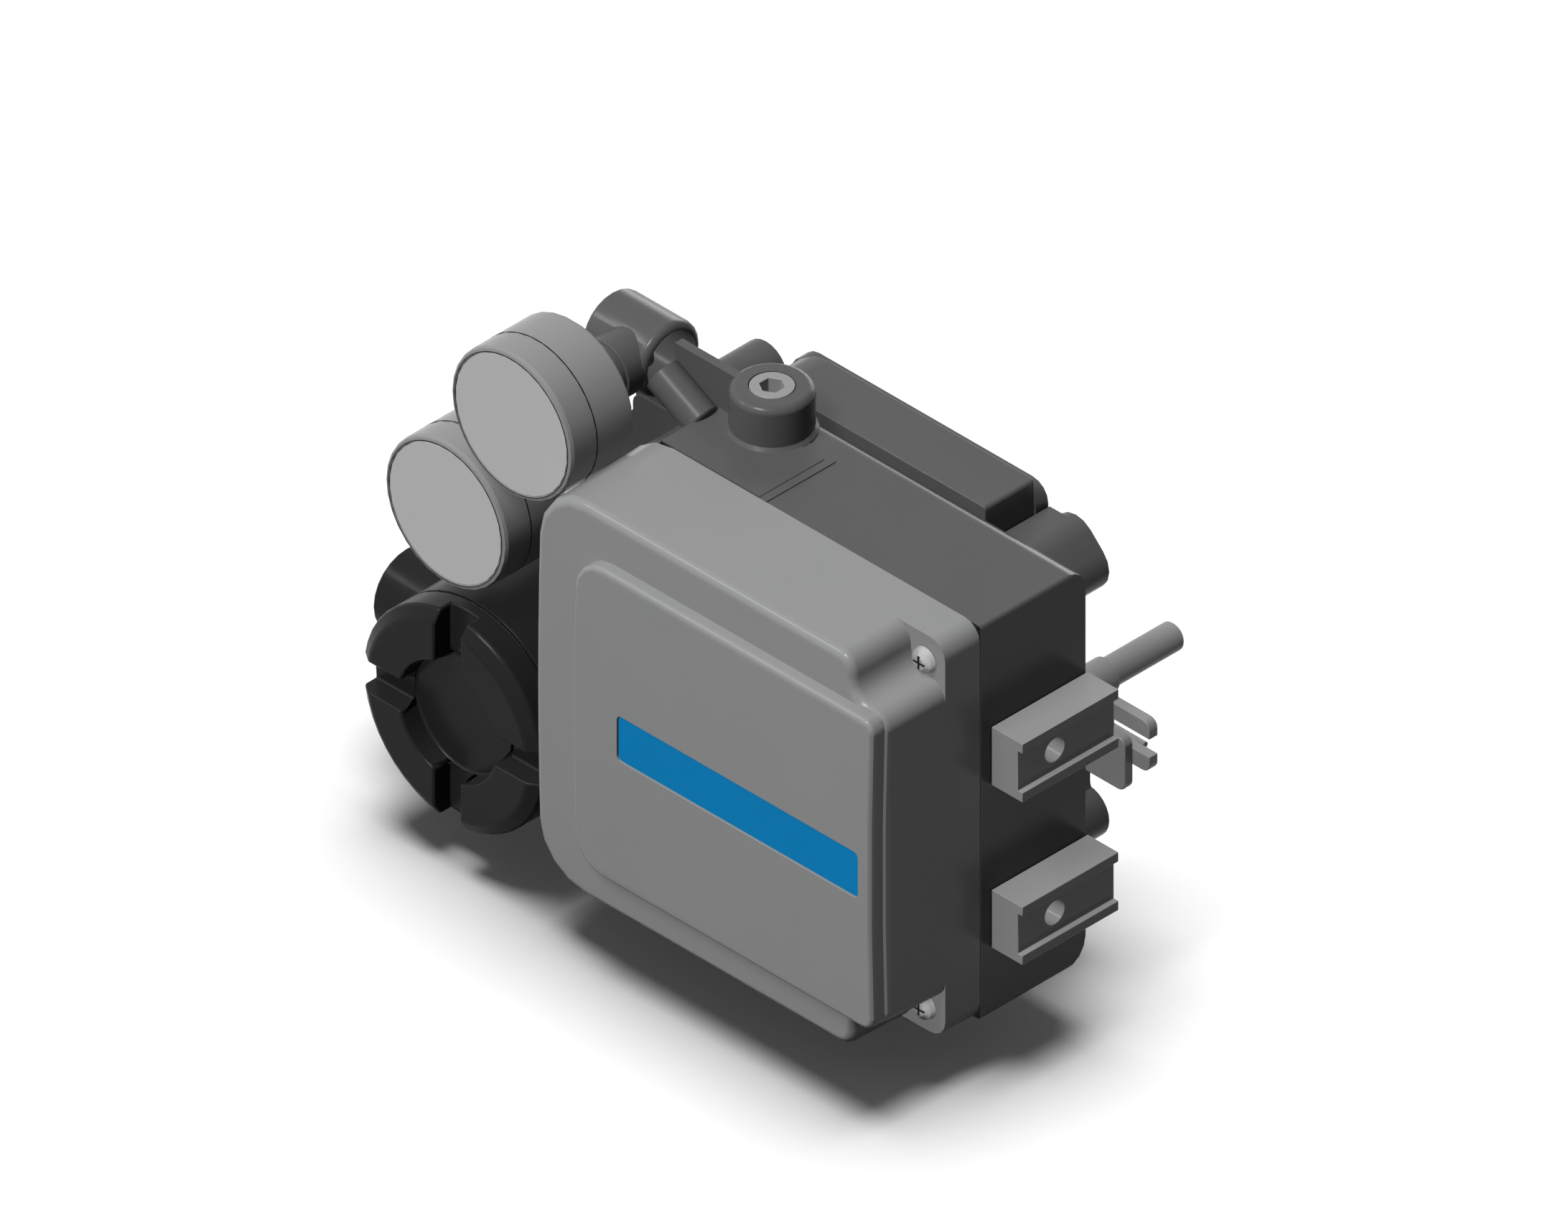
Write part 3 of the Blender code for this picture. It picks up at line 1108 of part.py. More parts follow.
def build_torque_motor():
    """The torque motor on the back wall: a yoke round a coil, and a flapper across its legs."""
    back = BODY_DEPTH - BACK_WALL - SEAT
    left, right = MOTOR_X - MOTOR_WIDTH / 2, MOTOR_X + MOTOR_WIDTH / 2
    low, under = MOTOR_TOP - MOTOR_HEIGHT, MOTOR_TOP - MOTOR_LEG
    inner_left, inner_right = left + MOTOR_LEG, right - MOTOR_LEG
    yoke = slab("y", [(left, MOTOR_TOP), (right, MOTOR_TOP), (right, low), (inner_right, low),
                      (inner_right, under), (inner_left, under), (inner_left, low), (left, low)],
                back - MOTOR_DEPTH, back)
    finish("motor_yoke", yoke, zinc)
    middle = back - MOTOR_DEPTH / 2
    top, foot = under - SEAT, low + SEAT
    waist = COIL_RADIUS - COIL_FLANGE
    profile = [(COIL_CORE, top), (COIL_RADIUS, top), (COIL_RADIUS, top - COIL_FLANGE),
               (waist, top - COIL_FLANGE), (waist, foot + COIL_FLANGE), (COIL_RADIUS, foot + COIL_FLANGE),
               (COIL_RADIUS, foot), (COIL_CORE, foot)]
    coil = turned("z", (MOTOR_X, middle), profile, 20)
    finish("motor_coil", coil, copper_wire)
    flapper_top = low - SEAT
    flapper = box((left, right), (middle - FLAPPER_HALF, middle + FLAPPER_HALF),
                  (flapper_top - FLAPPER_THICKNESS, flapper_top))
    finish("flapper", flapper, steel)
    build_nozzle(right - NOZZLE_INSET, middle, flapper_top - FLAPPER_THICKNESS - SEAT, back)


def build_nozzle(x, y, tip, back):
    """The nozzle below the flapper, with its block on the back wall."""
    foot = tip - NOZZLE_HEIGHT
    nozzle = turned("z", (x, y), [(0, tip), (NOZZLE_TIP, tip), (NOZZLE_RADIUS, tip - NOZZLE_TAPER),
                                  (NOZZLE_RADIUS, foot), (0, foot)], 16)
    half = 2 * NOZZLE_RADIUS
    block = box((x - half, x + half), (y - half, back), (foot + 1.0 - NOZZLE_BASE, foot + 1.0))
    finish("nozzle", join(nozzle, block), brass)


def build_sensor():
    """The sector gear on the shaft, the pinion that it drives and the position sensor."""
    pivot = (SHAFT_X, FACE_PLANE, SHAFT_Z)
    place = (SHAFT_X, SHAFT_Z)
    count = SECTOR_CUT
    teeth = gear_outline(place, SECTOR_TEETH, math.pi, -(count - 1) / 2, count)
    sector = slab("y", teeth + [place], GEAR_Y, GEAR_Y + GEAR_FACE)
    sector = join(sector, bar("y", place, SECTOR_HUB, GEAR_Y, GEAR_Y + SECTOR_HUB_LENGTH))
    sector = cut(sector, bar("y", place, SHAFT_RADIUS + SEAT, GEAR_Y - 1, GEAR_Y + SECTOR_HUB_LENGTH + 1))
    finish("sector_gear", sector, brass, pivot)
    place = (SENSOR_X, SHAFT_Z)
    half_tooth = math.pi / PINION_TEETH
    teeth = gear_outline(place, PINION_TEETH, half_tooth, 0, PINION_TEETH)
    pinion = slab("y", teeth, GEAR_Y, GEAR_Y + GEAR_FACE)
    sensor_front = GEAR_Y + GEAR_FACE + SENSOR_GAP
    stub_start = GEAR_Y + GEAR_FACE / 6
    pinion = join(pinion, bar("y", place, PINION_SHAFT, stub_start, sensor_front + PINION_REACH, 16))
    finish("sensor_pinion", pinion, white_plastic, (SENSOR_X, GEAR_Y, SHAFT_Z))
    back = BODY_DEPTH - BACK_WALL - SEAT
    sensor = bar("y", place, SENSOR_RADIUS, sensor_front, back)
    socket_end = sensor_front + PINION_REACH + RUN
    sensor = cut(sensor, bar("y", place, PINION_SHAFT + RUN, sensor_front - 1, socket_end, 16))
    finish("position_sensor", sensor, black_plastic)


def build_board():
    """The circuit board on its posts."""
    outline = rounded(frame_corners(BOARD_LEFT, BOARD_RIGHT, BOARD_BOTTOM, BOARD_TOP, 2.0, 2.0))
    finish("circuit_board", slab("y", outline, BOARD_Y, BOARD_Y + BOARD_THICKNESS), board_green)


for old in list(bpy.data.objects):
    bpy.data.objects.remove(old)
model = bpy.data.collections.new("valve_positioner")
workshop = bpy.data.collections.new("cutters")
for collection in (model, workshop):
    bpy.context.scene.collection.children.link(collection)
workshop.hide_render = True

dark_paint = finish_material("dark_paint", (0.11, 0.11, 0.115), 0.5)
light_paint = finish_material("light_paint", (0.42, 0.42, 0.43), 0.5)
box_paint = finish_material("box_paint", (0.03, 0.03, 0.032), 0.5)
blue_film = finish_material("blue_film", (0.0, 0.17, 0.40), 0.35)
black_rubber = finish_material("black_rubber", (0.02, 0.02, 0.02), 0.8)
zinc = finish_material("zinc", (0.6, 0.6, 0.6), 0.35, 1.0)
steel = finish_material("steel", (0.45, 0.45, 0.46), 0.3, 1.0)
gauge_grey = finish_material("gauge_grey", (0.3, 0.3, 0.31), 0.4)
lens_glass = finish_material("lens_glass", (0.5, 0.5, 0.5), 0.2)
dial_white = finish_material("dial_white", (0.6, 0.6, 0.6), 0.5)
black_plastic = finish_material("black_plastic", (0.02, 0.02, 0.02), 0.4)
white_plastic = finish_material("white_plastic", (0.7, 0.7, 0.68), 0.4)
brass = finish_material("brass", (0.6, 0.42, 0.15), 0.3, 1.0)
copper_wire = finish_material("copper_wire", (0.35, 0.12, 0.05), 0.4, 0.6)
board_green = finish_material("board_green", (0.02, 0.15, 0.06), 0.5)

UPPER_GAUGE, LOWER_GAUGE = gauge_places()
BOX_Z = LOWER_GAUGE[1] - GAUGE_RADIUS - BOX_DROP - BOX_RADIUS

frame = world_frame()
build_casting()
build_cover()
build_label()
build_gasket()
build_cover_screws()
build_side_blocks()
build_port_plug()
build_rear_housing()
build_gauge("upper_gauge", *UPPER_GAUGE)
build_gauge("lower_gauge", *LOWER_GAUGE)
build_terminal_box()
build_terminals()
build_shaft()
build_slot_spring()
build_sensor()
build_torque_motor()
build_board()
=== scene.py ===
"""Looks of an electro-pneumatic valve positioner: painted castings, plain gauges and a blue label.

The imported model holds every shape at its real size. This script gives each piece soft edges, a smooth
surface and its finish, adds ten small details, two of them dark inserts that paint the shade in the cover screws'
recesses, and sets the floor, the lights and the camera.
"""

import json
import math

import bmesh
import bpy
from mathutils import Matrix, Vector


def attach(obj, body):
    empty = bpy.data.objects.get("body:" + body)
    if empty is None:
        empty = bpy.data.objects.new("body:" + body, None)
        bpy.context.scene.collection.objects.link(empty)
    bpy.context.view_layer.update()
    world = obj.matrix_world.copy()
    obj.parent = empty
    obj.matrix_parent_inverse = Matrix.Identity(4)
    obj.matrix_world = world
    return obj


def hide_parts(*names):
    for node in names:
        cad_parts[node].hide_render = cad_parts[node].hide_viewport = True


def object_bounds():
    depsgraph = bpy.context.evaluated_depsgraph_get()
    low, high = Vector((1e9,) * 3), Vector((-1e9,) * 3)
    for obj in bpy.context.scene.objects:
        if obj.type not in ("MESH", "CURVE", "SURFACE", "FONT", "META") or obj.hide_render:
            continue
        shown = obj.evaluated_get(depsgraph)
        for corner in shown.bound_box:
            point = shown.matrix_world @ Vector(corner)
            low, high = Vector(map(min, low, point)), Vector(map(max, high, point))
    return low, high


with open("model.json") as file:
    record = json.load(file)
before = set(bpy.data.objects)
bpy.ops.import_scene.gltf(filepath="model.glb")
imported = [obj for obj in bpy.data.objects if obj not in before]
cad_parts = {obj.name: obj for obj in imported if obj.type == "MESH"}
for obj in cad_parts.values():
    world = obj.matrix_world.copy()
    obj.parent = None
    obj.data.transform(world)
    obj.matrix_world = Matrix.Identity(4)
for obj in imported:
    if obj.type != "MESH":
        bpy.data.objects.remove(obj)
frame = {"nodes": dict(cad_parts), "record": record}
cad_low, cad_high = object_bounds()

MM = 0.001

# Camera: the photograph is an isometric view, 5.678 pixels to the millimetre
PHOTO_WIDTH = 2184
PIXELS_PER_MM = 5.678
AIM = Vector((-44.85, -61.0, 31.49)) * MM
CAMERA_DISTANCE = 1.2

# Floor and surround. Only their own picture is white, so that they throw little light at the object
FLOOR_DROP = 12.5 * MM
FLOOR_SIZE = 3.0
FLOOR_GREY = (0.09, 0.09, 0.09, 1)
WHITE = (1, 1, 1, 1)
DIM_SURROUND = 0.06

# Lamps: name, strength, spread in degrees, direction, whether for the floor alone, whether it casts shadows
LAMPS = (
    ("key", 1.5, 24, (-0.02, -0.75, 1.17), False, True),
    ("open_key", 3.05, 12, (-0.02, -0.75, 1.17), False, False),
    ("glint", 0.8, 8, (-0.577, -0.45, 0.68), False, False),
    ("back", 1.6, 40, (-0.35, 0.92, 0.12), False, True),
    ("overhead", 3.1, 34, (0.0, 0.0, 1.0), True, True),
    ("floor_fill", 0.09, 10, (0.0, 0.0, 1.0), True, False),
)

# Baked enamel with matting agent reflects much less than a polished surface of the same index
MATT_SHINE = 0.09
PAINT_CLOUD = 18        # mm, size of the faint clouds in a coat of paint
WINDOW_CLOUD = 9
MOULD_GRAIN = 0.7       # mm, the grain of a mould's face, and how deep it is
MOULD_DEPTH = 0.012
MOULD_SPREAD = 0.05     # how far the roughness strays from its middle value
LAY_LENGTH = 6          # mm, length of a tool's lines on turned steel
LAY_DEPTH = 0.01
LAY_SHADE = 0.85        # the lines' colour as a share of the metal's
LAY_SPREAD = 0.08

# Meshes: widths in mm and angles in degrees
WELD = 0.002
FLAT_ANGLE = 0.6        # faces closer to one plane than this are made one
SHARP_ANGLE = 32
EDGE_SEGMENTS = 2
FACE_WEIGHT = 50
RING_SIDES = 96
EDGE_ROUND = {"casting": 0.18, "front_cover": 0.2, "rear_housing": 0.3, "rear_plate": 0.2, "terminal_box": 0.3,
              "terminal_cap": 0.6, "side_block_upper": 0.15, "side_block_lower": 0.15, "fork_plate": 0.25,
              "stop_plate": 0.25, "feedback_shaft": 0.15, "shaft_collar": 0.15, "port_plug": 0.15}
LOOSE_EDGES = ("terminal_cap",)     # rounds that keep their full width beside short edges

# Gauges, in mm
GAUGE_RADIUS = 21.0
BEZEL_DEPTH = 8.9
CASE_LENGTH = 22.4      # gauge, from its front to its back
STEM_LENGTH = 12.8      # from the gauge's back to the elbow's neck
NECK_RADIUS = 8.5       # the elbow's neck, which is carried on towards the gauge
NECK_LENGTH = 2.8
NECK_EDGE = 0.3
NECK_GAP = 0.02
COLLAR_RADIUS = 7.9
COLLAR_BORE = 6.75
COLLAR_GAP = 0.05
WINDOW_RADIUS = 19.85
WINDOW_SEAL_WIDTH = 0.25
WINDOW_SEAL_PROUD = 0.03
WINDOW_SEAL_DEPTH = 0.2
BEZEL_SEAL_WIDTH = 0.3
BEZEL_SEAL_PROUD = 0.04
BEZEL_SEAL_LAP = 0.02
BEZEL_SEAL_DEPTH = 0.29     # fills the gap between the bezel and the case

# Joint between the cover's back and the casting's front, in mm
JOINT_FRONT = -60.99
JOINT_BACK = -60.71
JOINT_CUT = -60.0       # where the casting's outline is taken
CUT_REACH = 0.0001
JOINT_INSET = 0.12
JOINT_DEPTH = 1.2

# Cross recess of the cover screws, and the dark insert in it that is painted shade, in mm
RECESS_REACH = 1.85     # half the length of the cross
RECESS_HALF = 0.39
RECESS_TOP = 0.1        # from the head's top down to the dark insert of painted shade
RECESS_FLOOR = 0.95

# End of the gauge arm, in mm
ARM_END = (-89.00, -45.40, 57.50)
ARM_SLANT = (13.5, 0.0, -7.0)
ARM_RADIUS = 4.99
END_CROWN = 0.3         # share of a full ball

body_of_node = {node: body for body, nodes in frame["record"]["behaviour"]["bodies"].items() for node in nodes}
slot_of_node = {part["node"]: part["material_slot"] for part in frame["record"]["subparts"]}


def linear(hex_colour):
    """An sRGB hex colour as linear red, green, blue and alpha."""
    channels = [int(hex_colour[i:i + 2], 16) / 255 for i in (1, 3, 5)]
    return (*[c / 12.92 if c <= 0.04045 else ((c + 0.055) / 1.055) ** 2.4 for c in channels], 1.0)


def add(tree, kind, settings=None, inputs=None, links=None):
    """Adds a node, sets its settings and inputs, and links other nodes' outputs to its inputs."""
    made = tree.nodes.new(kind)
    for name, value in (settings or {}).items():
        setattr(made, name, value)
    for name, value in (inputs or {}).items():
        made.inputs[name].default_value = value
    for name, (source, output) in (links or {}).items():
        tree.links.new(source.outputs[output], made.inputs[name])
    return made


def start_material(name, roughness, metallic=0.0, shine=0.5, ior=1.5):
    """A new material with its tree, its shader and its object coordinates."""
    material = bpy.data.materials.new(name)
    material.use_nodes = True
    tree = material.node_tree
    shader = tree.nodes["Principled BSDF"]
    shader.inputs["Roughness"].default_value = roughness
    shader.inputs["Metallic"].default_value = metallic
    shader.inputs["Specular IOR Level"].default_value = shine
    shader.inputs["IOR"].default_value = ior
    place = add(tree, "ShaderNodeTexCoord")
    return material, tree, shader, place


def tint_by(tree, shader, pattern, colour, shade):
    """Colours a surface between two near shades, as a pattern says."""
    tint = add(tree, "ShaderNodeMix", {"data_type": "RGBA"}, {"A": colour, "B": shade}, {"Factor": (pattern, "Fac")})
    tree.links.new(tint.outputs["Result"], shader.inputs["Base Color"])


def texture_by(tree, shader, pattern, roughness, spread, depth_mm):
    """Gives a surface the uneven gloss and the fine relief of a pattern."""
    gloss = add(tree, "ShaderNodeMapRange", inputs={"To Min": roughness - spread, "To Max": roughness + spread},
                links={"Value": (pattern, "Fac")})
    tree.links.new(gloss.outputs["Result"], shader.inputs["Roughness"])
    relief = add(tree, "ShaderNodeBump", inputs={"Strength": 1.0, "Distance": depth_mm * MM},
                 links={"Height": (pattern, "Fac")})
    tree.links.new(relief.outputs["Normal"], shader.inputs["Normal"])


def painted(name, colour, shade, grain_mm, depth_mm, roughness, spread, shine=MATT_SHINE):
    """Paint on a casting: a slightly uneven colour and gloss, and the fine grain of the sprayed coat."""
    material, tree, shader, place = start_material(name, roughness, shine=shine)
    cloud = add(tree, "ShaderNodeTexNoise", inputs={"Scale": 1 / (PAINT_CLOUD * MM), "Detail": 3.0},
                links={"Vector": (place, "Object")})
    grain = add(tree, "ShaderNodeTexNoise", inputs={"Scale": 1 / (grain_mm * MM), "Detail": 2.0},
                links={"Vector": (place, "Object")})
    tint_by(tree, shader, cloud, linear(colour), linear(shade))
    texture_by(tree, shader, grain, roughness, spread, depth_mm)
    return material


def dark_enamel():
    """Baked dark grey enamel on die-cast aluminium: satin, with a faint orange peel."""
    return painted("dark_grey_enamel", "#4C4C4C", "#474747", 1.1, 0.008, 0.26, 0.03)


def light_enamel():
    """Baked mid grey enamel on the die-cast cover and blocks: satin, with a faint orange peel."""
    return painted("mid_grey_enamel", "#7C7C7C", "#787979", 1.2, 0.005, 0.25, 0.02)


def black_enamel():
    """Near-black enamel on the terminal housing and its cap, less glossy than the rest."""
    return painted("black_enamel", "#1E1E1E", "#1B1B1B", 0.9, 0.01, 0.3, 0.04, shine=0.05)


def gauge_enamel():
    """Sprayed mid grey enamel on the gauges' drawn steel cases: smooth."""
    return painted("gauge_grey_enamel", "#7C7C7C", "#797979", 1.6, 0.004, 0.25, 0.02)


def dial_paint():
    """Plain pale grey paint on the gauges' dial plates."""
    return painted("dial_paint", "#A9A9A9", "#A3A3A3", 0.8, 0.004, 0.6, 0.03)


def blue_foil():
    """Blue printed polyester foil: an even colour under a satin surface."""
    return painted("blue_polyester_foil", "#0072A9", "#006EA4", 0.6, 0.003, 0.4, 0.03, shine=0.04)


def moulded(name, colour, shade, roughness):
    """Moulded plastic or rubber with a fine matte grain."""
    return painted(name, colour, shade, MOULD_GRAIN, MOULD_DEPTH, roughness, MOULD_SPREAD)


def turned_steel(name, colour, lay_mm, roughness, metallic=0.4, shine=0.5):
    """Turned or milled metal: fine lines from the tool, close together."""
    material, tree, shader, place = start_material(name, roughness, metallic, shine)
    lay = add(tree, "ShaderNodeMapping", links={"Vector": (place, "Object")},
              inputs={"Scale": (1 / (LAY_LENGTH * MM), 1 / (lay_mm * MM), 1 / (LAY_LENGTH * MM))})
    lines = add(tree, "ShaderNodeTexNoise", inputs={"Scale": 1.0, "Detail": 3.0}, links={"Vector": (lay, "Vector")})
    shade = tuple(LAY_SHADE * channel for channel in linear(colour)[:3]) + (1.0,)
    tint_by(tree, shader, lines, linear(colour), shade)
    texture_by(tree, shader, lines, roughness, LAY_SPREAD, LAY_DEPTH)
    return material


def zinc_plate():
    """Bright zinc plate on the cover screws."""
    return turned_steel("bright_zinc_plate", "#ADADAD", 0.5, 0.3)


def shaft_steel():
    """Dull phosphated steel of the shaft and its plates."""
    return turned_steel("phosphated_steel", "#828282", 0.35, 0.36, metallic=0.05, shine=0.12)


def plain_brass():
    """Turned brass of the gear, the bush and the gauge movements."""
    return turned_steel("turned_brass", "#B9974F", 0.4, 0.35)


def coil_wire():
    """Enamelled copper wire, wound in close turns round the torque motor's bobbin."""
    return turned_steel("enamelled_copper_wire", "#9A5A36", 0.45, 0.38)


def window():
    """The gauges' satin window, pale and not seen through."""
    material, tree, shader, place = start_material("satin_acrylic_window", 0.4, shine=MATT_SHINE, ior=1.49)
    cloud = add(tree, "ShaderNodeTexNoise", inputs={"Scale": 1 / (WINDOW_CLOUD * MM), "Detail": 2.0},
                links={"Vector": (place, "Object")})
    tint_by(tree, shader, cloud, linear("#A7A7A7"), linear("#A4A4A4"))
    return material


finishes = {
    "dark_paint": dark_enamel(), "light_paint": light_enamel(), "box_paint": black_enamel(),
    "gauge_grey": gauge_enamel(), "dial_white": dial_paint(), "blue_film": blue_foil(), "zinc": zinc_plate(),
    "steel": shaft_steel(), "brass": plain_brass(), "copper": coil_wire(),
    "lens_glass": window(),
    "black_rubber": moulded("moulded_black_rubber", "#1C1C1C", "#171717", 0.75),
    "black_plastic": moulded("moulded_black_nylon", "#1F1F20", "#1A1A1B", 0.5),
    "white_plastic": moulded("moulded_white_acetal", "#DAD9D3", "#D3D2CC", 0.45),
    "board_green": moulded("green_solder_mask", "#1C5A36", "#185030", 0.4),
}


def settle(piece, body, slot, *nodes):
    """Puts a finished piece on its body, gives it its finish and hides the nodes that it stands for."""
    piece.data.materials.clear()
    piece.data.materials.append(finishes[slot])
    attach(piece, body)
    if nodes:
        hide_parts(*nodes)
    return piece


def stand(bm, name):
    """The object of a finished mesh, smooth but for its sharp edges."""
    mesh = bpy.data.meshes.new(name)
    bm.to_mesh(mesh)
    bm.free()
    mesh.shade_smooth()
    mesh.set_sharp_from_angle(angle=math.radians(SHARP_ANGLE))
    piece = bpy.data.objects.new(name, mesh)
    bpy.context.scene.collection.objects.link(piece)
    return piece


def add_detail(bm, name, slot):
    """Puts a small part of the scene on the housing, with its faces turned outwards."""
    bmesh.ops.recalc_face_normals(bm, faces=bm.faces)
    settle(stand(bm, name), "housing", slot)


def copy_of(node):
    """A node's mesh with its loose triangles merged."""
    bm = bmesh.new()
    bm.from_mesh(frame["nodes"][node].data)
    bmesh.ops.remove_doubles(bm, verts=bm.verts, dist=WELD * MM)
    return bm


def soften(node, width_mm):
    """A copy of a node with its flat faces made whole, its edges broken by a small round, and smooth shading."""
    bm = copy_of(node)
    bmesh.ops.dissolve_limit(bm, angle_limit=math.radians(FLAT_ANGLE), verts=bm.verts, edges=bm.edges)
    piece = stand(bm, node + "_skin")
    if width_mm:
        edges = piece.modifiers.new("broken_edges", "BEVEL")
        edges.width = width_mm * MM
        edges.segments = EDGE_SEGMENTS
        edges.limit_method = "ANGLE"
        edges.angle_limit = math.radians(SHARP_ANGLE)
        edges.use_clamp_overlap = node not in LOOSE_EDGES
    shading = piece.modifiers.new("flat_faces", "WEIGHTED_NORMAL")
    shading.mode = "FACE_AREA"
    shading.weight = FACE_WEIGHT
    shading.keep_sharp = True
    settle(piece, body_of_node[node], slot_of_node[node], node)


def middle_of(node, axis):
    """The middle of a node along an axis, in mm."""
    places = [vert.co[axis] for vert in frame["nodes"][node].data.vertices]
    return (min(places) + max(places)) / 2 / MM


def front_of(node):
    """The front end of a node, in mm."""
    return min(vert.co.y for vert in frame["nodes"][node].data.vertices) / MM


def place_ring(name, slot, centre, profile):
    """A round part whose axis runs along Y: a closed profile of radius and Y in mm, turned once round."""
    bm = bmesh.new()
    corners = [bm.verts.new(((centre[0] + radius) * MM, y * MM, centre[1] * MM)) for radius, y in profile]
    sides = [bm.edges.new(ends) for ends in zip(corners, corners[1:] + corners[:1])]
    bmesh.ops.spin(bm, geom=corners + sides, cent=(centre[0] * MM, 0, centre[1] * MM), axis=(0, 1, 0),
                   angle=2 * math.pi, steps=RING_SIDES, use_merge=True)
    add_detail(bm, name, slot)


def dress_gauge(side):
    """Small parts of a gauge: the collar on its stem, the seal round its window and the one behind its bezel."""
    centre = (middle_of(side + "_gauge_lens", 0), middle_of(side + "_gauge_lens", 2))
    front = front_of(side + "_gauge_bezel")
    split = front + BEZEL_DEPTH
    start = front + CASE_LENGTH + COLLAR_GAP
    neck = front + CASE_LENGTH + STEM_LENGTH
    place_ring(side + "_gauge_collar", "dark_paint", centre,
               [(COLLAR_BORE, start), (COLLAR_RADIUS, start), (COLLAR_RADIUS, neck - NECK_LENGTH),
                (NECK_RADIUS - NECK_EDGE, neck - NECK_LENGTH), (NECK_RADIUS, neck - NECK_LENGTH + NECK_EDGE),
                (NECK_RADIUS, neck - NECK_GAP), (COLLAR_BORE, neck - NECK_GAP)])
    inner, outer = WINDOW_RADIUS - WINDOW_SEAL_WIDTH, WINDOW_RADIUS
    near, far = front - WINDOW_SEAL_PROUD, front + WINDOW_SEAL_DEPTH
    place_ring(side + "_window_seal", "black_rubber", centre,
               [(inner, near), (outer, near), (outer, far), (inner, far)])
    inner, outer = GAUGE_RADIUS - BEZEL_SEAL_WIDTH, GAUGE_RADIUS + BEZEL_SEAL_PROUD
    near, far = split - BEZEL_SEAL_LAP, split + BEZEL_SEAL_DEPTH
    place_ring(side + "_bezel_seal", "black_rubber", centre,
               [(inner, near), (outer, near), (outer, far), (inner, far)])


def thicken(bm, faces, depth_mm):
    """Gives flat faces a depth along Y, and closes them behind."""
    made = bmesh.ops.extrude_face_region(bm, geom=faces, use_keep_orig=True)["geom"]
    verts = [part for part in made if isinstance(part, bmesh.types.BMVert)]
    bmesh.ops.translate(bm, vec=(0, depth_mm * MM, 0), verts=verts)


def paint_recess_shade(node):
    """A dark insert in a cover screw's cross recess, which paints the recess's shade."""
    middle = (middle_of(node, 0), middle_of(node, 2))
    top = front_of(node)
    far, half = RECESS_REACH, RECESS_HALF
    cross = [(half, half), (far, half), (far, -half), (half, -half), (half, -far), (-half, -far),
             (-half, -half), (-far, -half), (-far, half), (-half, half), (-half, far), (half, far)]
    bm = bmesh.new()
    lid = bm.faces.new([bm.verts.new(((middle[0] + u) * MM, (top + RECESS_TOP) * MM, (middle[1] + v) * MM))
                        for u, v in cross])
    thicken(bm, [lid], RECESS_FLOOR - RECESS_TOP)
    # The near-black finish paints the shade inside the recess
    add_detail(bm, node + "_recess", "black_plastic")


def keep_outline(bm):
    """Leaves only the loop of edges that reaches furthest to the right, which is the outer one."""
    start = max(bm.verts, key=lambda vert: vert.co.x)
    outline, waiting = {start}, [start]
    while waiting:
        vert = waiting.pop()
        for other in (edge.other_vert(vert) for edge in vert.link_edges):
            if other not in outline:
                outline.add(other)
                waiting.append(other)
    bmesh.ops.delete(bm, geom=[vert for vert in bm.verts if vert not in outline], context="VERTS")


def inward_ways(face):
    """For each corner of a face, the direction in the face's plane that leads inwards from its edge."""
    ways = {}
    for corner in face.loops:
        here = corner.vert.co
        along = ((here - corner.link_loop_prev.vert.co).normalized()
                 + (corner.link_loop_next.vert.co - here).normalized())
        ways[corner.vert] = face.normal.cross(along).normalized()
    return ways


def place_joint_line():
    """The gasket's edge between the casting and the cover, which closes the joint as a thin dark line."""
    bm = copy_of("casting")
    bmesh.ops.bisect_plane(bm, geom=bm.verts[:] + bm.edges[:] + bm.faces[:], dist=CUT_REACH * MM,
                           plane_co=(0, JOINT_CUT * MM, 0), plane_no=(0, 1, 0), clear_inner=True, clear_outer=True)
    keep_outline(bm)
    bmesh.ops.translate(bm, vec=(0, (JOINT_FRONT - JOINT_CUT) * MM, 0), verts=bm.verts)
    middle = bmesh.ops.edgeloop_fill(bm, edges=bm.edges[:])["faces"]
    ways = inward_ways(middle[0])
    bmesh.ops.delete(bm, geom=middle, context="FACES_ONLY")
    bmesh.ops.extrude_edge_only(bm, edges=bm.edges[:])
    # The inset operator strays at this outline's corners, so each pair of points is moved by itself
    for outer, way in ways.items():
        inner = next(vert for vert in (edge.other_vert(outer) for edge in outer.link_edges) if vert not in ways)
        inner.co = outer.co + way * JOINT_DEPTH * MM
        outer.co = outer.co + way * JOINT_INSET * MM
    thicken(bm, bm.faces[:], JOINT_BACK - JOINT_FRONT)
    add_detail(bm, "joint_line", "black_rubber")


def round_arm_end():
    """A crowned end on the gauge arm, where it runs out on the casting's top."""
    bm = bmesh.new()
    bmesh.ops.create_uvsphere(bm, u_segments=32, v_segments=16, radius=ARM_RADIUS * MM)
    flatten = Matrix.Scale(END_CROWN, 4, Vector(ARM_SLANT).normalized())
    bmesh.ops.transform(bm, matrix=Matrix.Translation(Vector(ARM_END) * MM) @ flatten, verts=bm.verts)
    add_detail(bm, "gauge_arm_end", "dark_paint")


def seen_directly(tree):
    """One where the camera sees the surface itself, or sees it in gloss or through glass, otherwise zero."""
    path = add(tree, "ShaderNodeLightPath")
    seen = add(tree, "ShaderNodeMath", {"operation": "MAXIMUM"},
               links={0: (path, "Is Camera Ray"), 1: (path, "Is Glossy Ray")})
    return add(tree, "ShaderNodeMath", {"operation": "MAXIMUM"},
               links={0: (seen, "Value"), 1: (path, "Is Transmission Ray")})


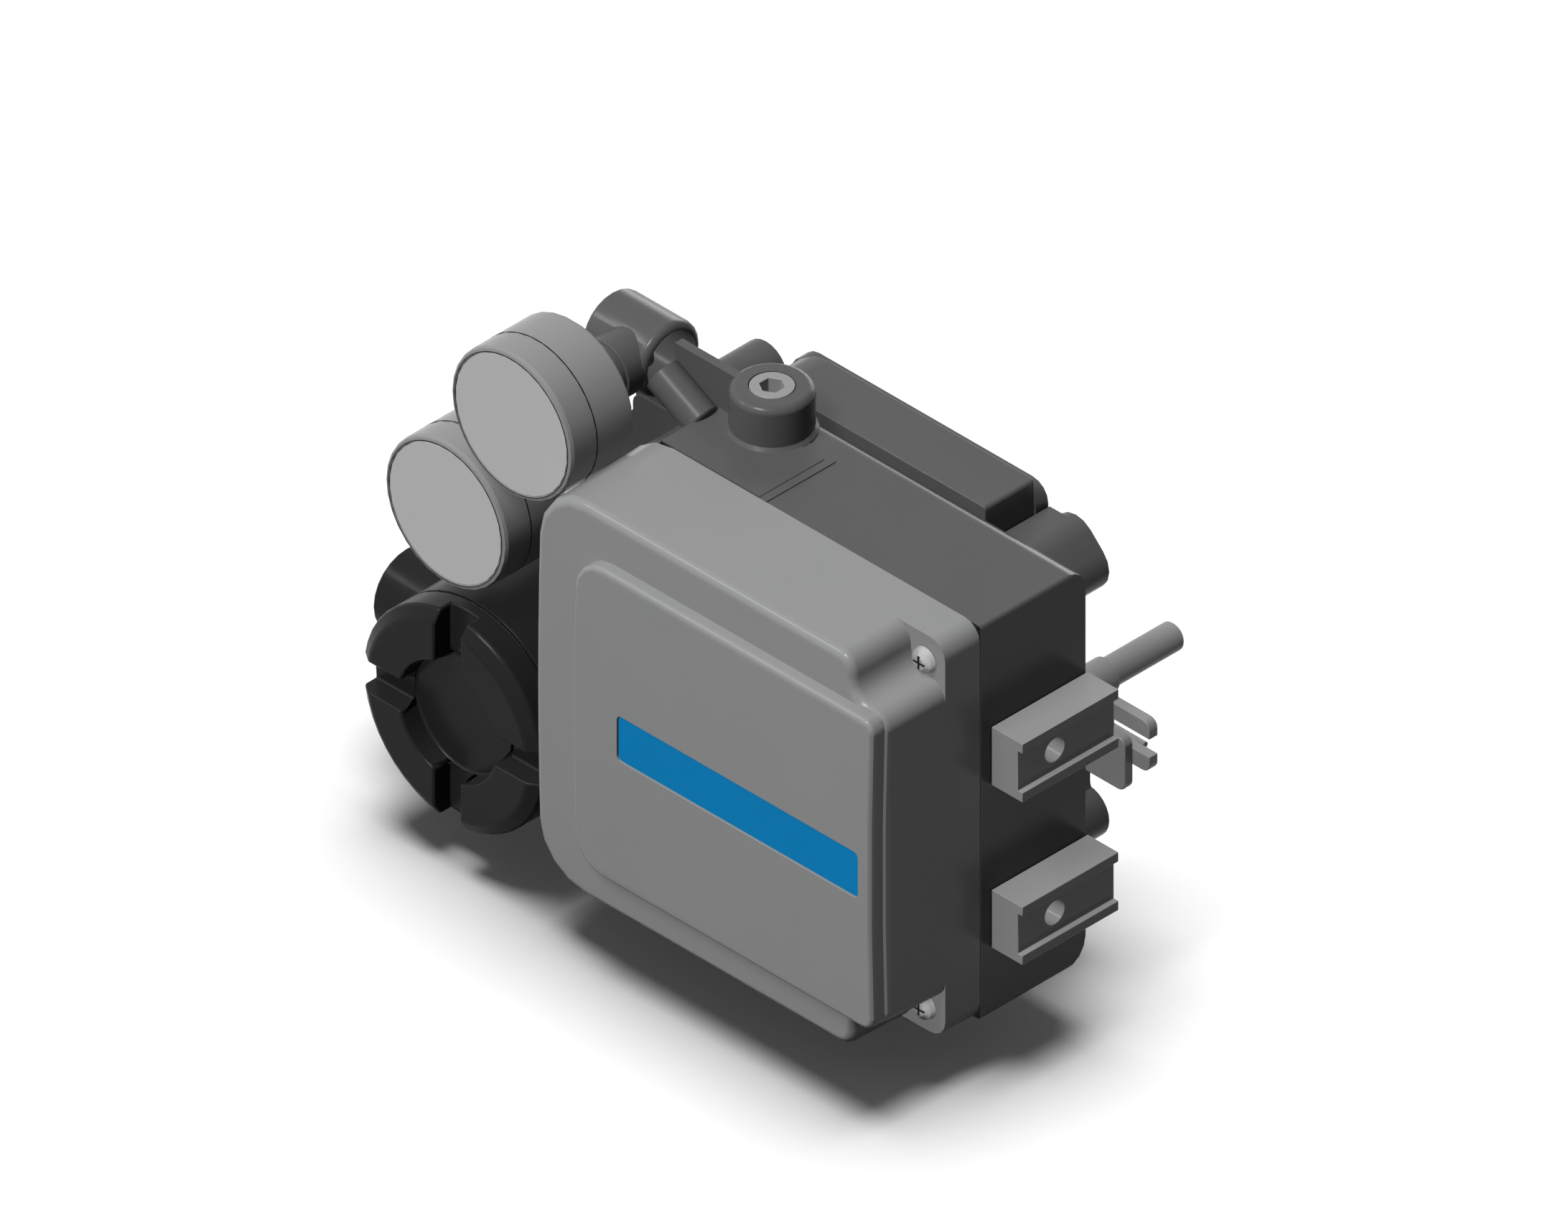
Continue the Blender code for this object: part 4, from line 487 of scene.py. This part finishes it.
def set_stage():
    """A floor that shows white and takes the soft shadow, and throws little light back at the object."""
    bm = bmesh.new()
    bmesh.ops.create_grid(bm, x_segments=2, y_segments=2, size=FLOOR_SIZE)
    bmesh.ops.translate(bm, vec=(0, 0, cad_low.z - FLOOR_DROP), verts=bm.verts)
    floor = stand(bm, "floor")
    material = bpy.data.materials.new("white_floor")
    material.use_nodes = True
    tree = material.node_tree
    shader = tree.nodes["Principled BSDF"]
    shader.inputs["Roughness"].default_value = 1.0
    shader.inputs["Specular IOR Level"].default_value = 0.0
    tint = add(tree, "ShaderNodeMix", {"data_type": "RGBA"}, {"A": FLOOR_GREY, "B": WHITE},
               {"Factor": (seen_directly(tree), "Value")})
    tree.links.new(tint.outputs["Result"], shader.inputs["Base Color"])
    floor.data.materials.append(material)
    return floor


def add_lamp(name, strength, spread, direction, floor, floor_only, shadow):
    """A broad distant lamp, for the floor alone or for everything but the floor."""
    lamp = bpy.data.lights.new(name, "SUN")
    lamp.energy = strength
    lamp.angle = math.radians(spread)
    lamp.use_shadow = shadow
    source = bpy.data.objects.new(name, lamp)
    source.rotation_mode = "QUATERNION"
    source.rotation_quaternion = Vector(direction).to_track_quat("Z", "Y")
    bpy.context.scene.collection.objects.link(source)
    lit = bpy.data.collections.new(name + "_receivers")
    lit.objects.link(floor)
    lit.collection_objects[0].light_linking.link_state = "INCLUDE" if floor_only else "EXCLUDE"
    source.light_linking.receiver_collection = lit


def set_lights(floor):
    """Two keys from above the front, a glint, a lamp for the back, two for the floor, and a dim surround."""
    world = bpy.data.worlds.new("studio")
    bpy.context.scene.world = world
    world.use_nodes = True
    tree = world.node_tree
    background = tree.nodes["Background"]
    background.inputs["Color"].default_value = WHITE
    strength = add(tree, "ShaderNodeMapRange", inputs={"To Min": DIM_SURROUND, "To Max": 1.0},
                   links={"Value": (seen_directly(tree), "Value")})
    tree.links.new(strength.outputs["Result"], background.inputs["Strength"])
    for name, energy, spread, direction, floor_only, shadow in LAMPS:
        add_lamp(name, energy, spread, direction, floor, floor_only, shadow)


def set_camera():
    """The photograph's isometric view."""
    towards = Vector((1, -1, 1)).normalized()
    data = bpy.data.cameras.new("camera")
    data.type = "ORTHO"
    data.ortho_scale = PHOTO_WIDTH / PIXELS_PER_MM * MM
    camera = bpy.data.objects.new("camera", data)
    camera.location = AIM + towards * CAMERA_DISTANCE
    camera.rotation_mode = "QUATERNION"
    camera.rotation_quaternion = towards.to_track_quat("Z", "Y")
    bpy.context.scene.collection.objects.link(camera)
    bpy.context.scene.camera = camera


for node in frame["nodes"]:
    soften(node, EDGE_ROUND.get(node, 0))
for side in ("upper", "lower"):
    dress_gauge(side)
for side in ("upper", "lower"):
    paint_recess_shade("cover_screw_" + side)
place_joint_line()
round_arm_end()

set_lights(set_stage())
set_camera()
bpy.context.scene.view_settings.view_transform = "Standard"
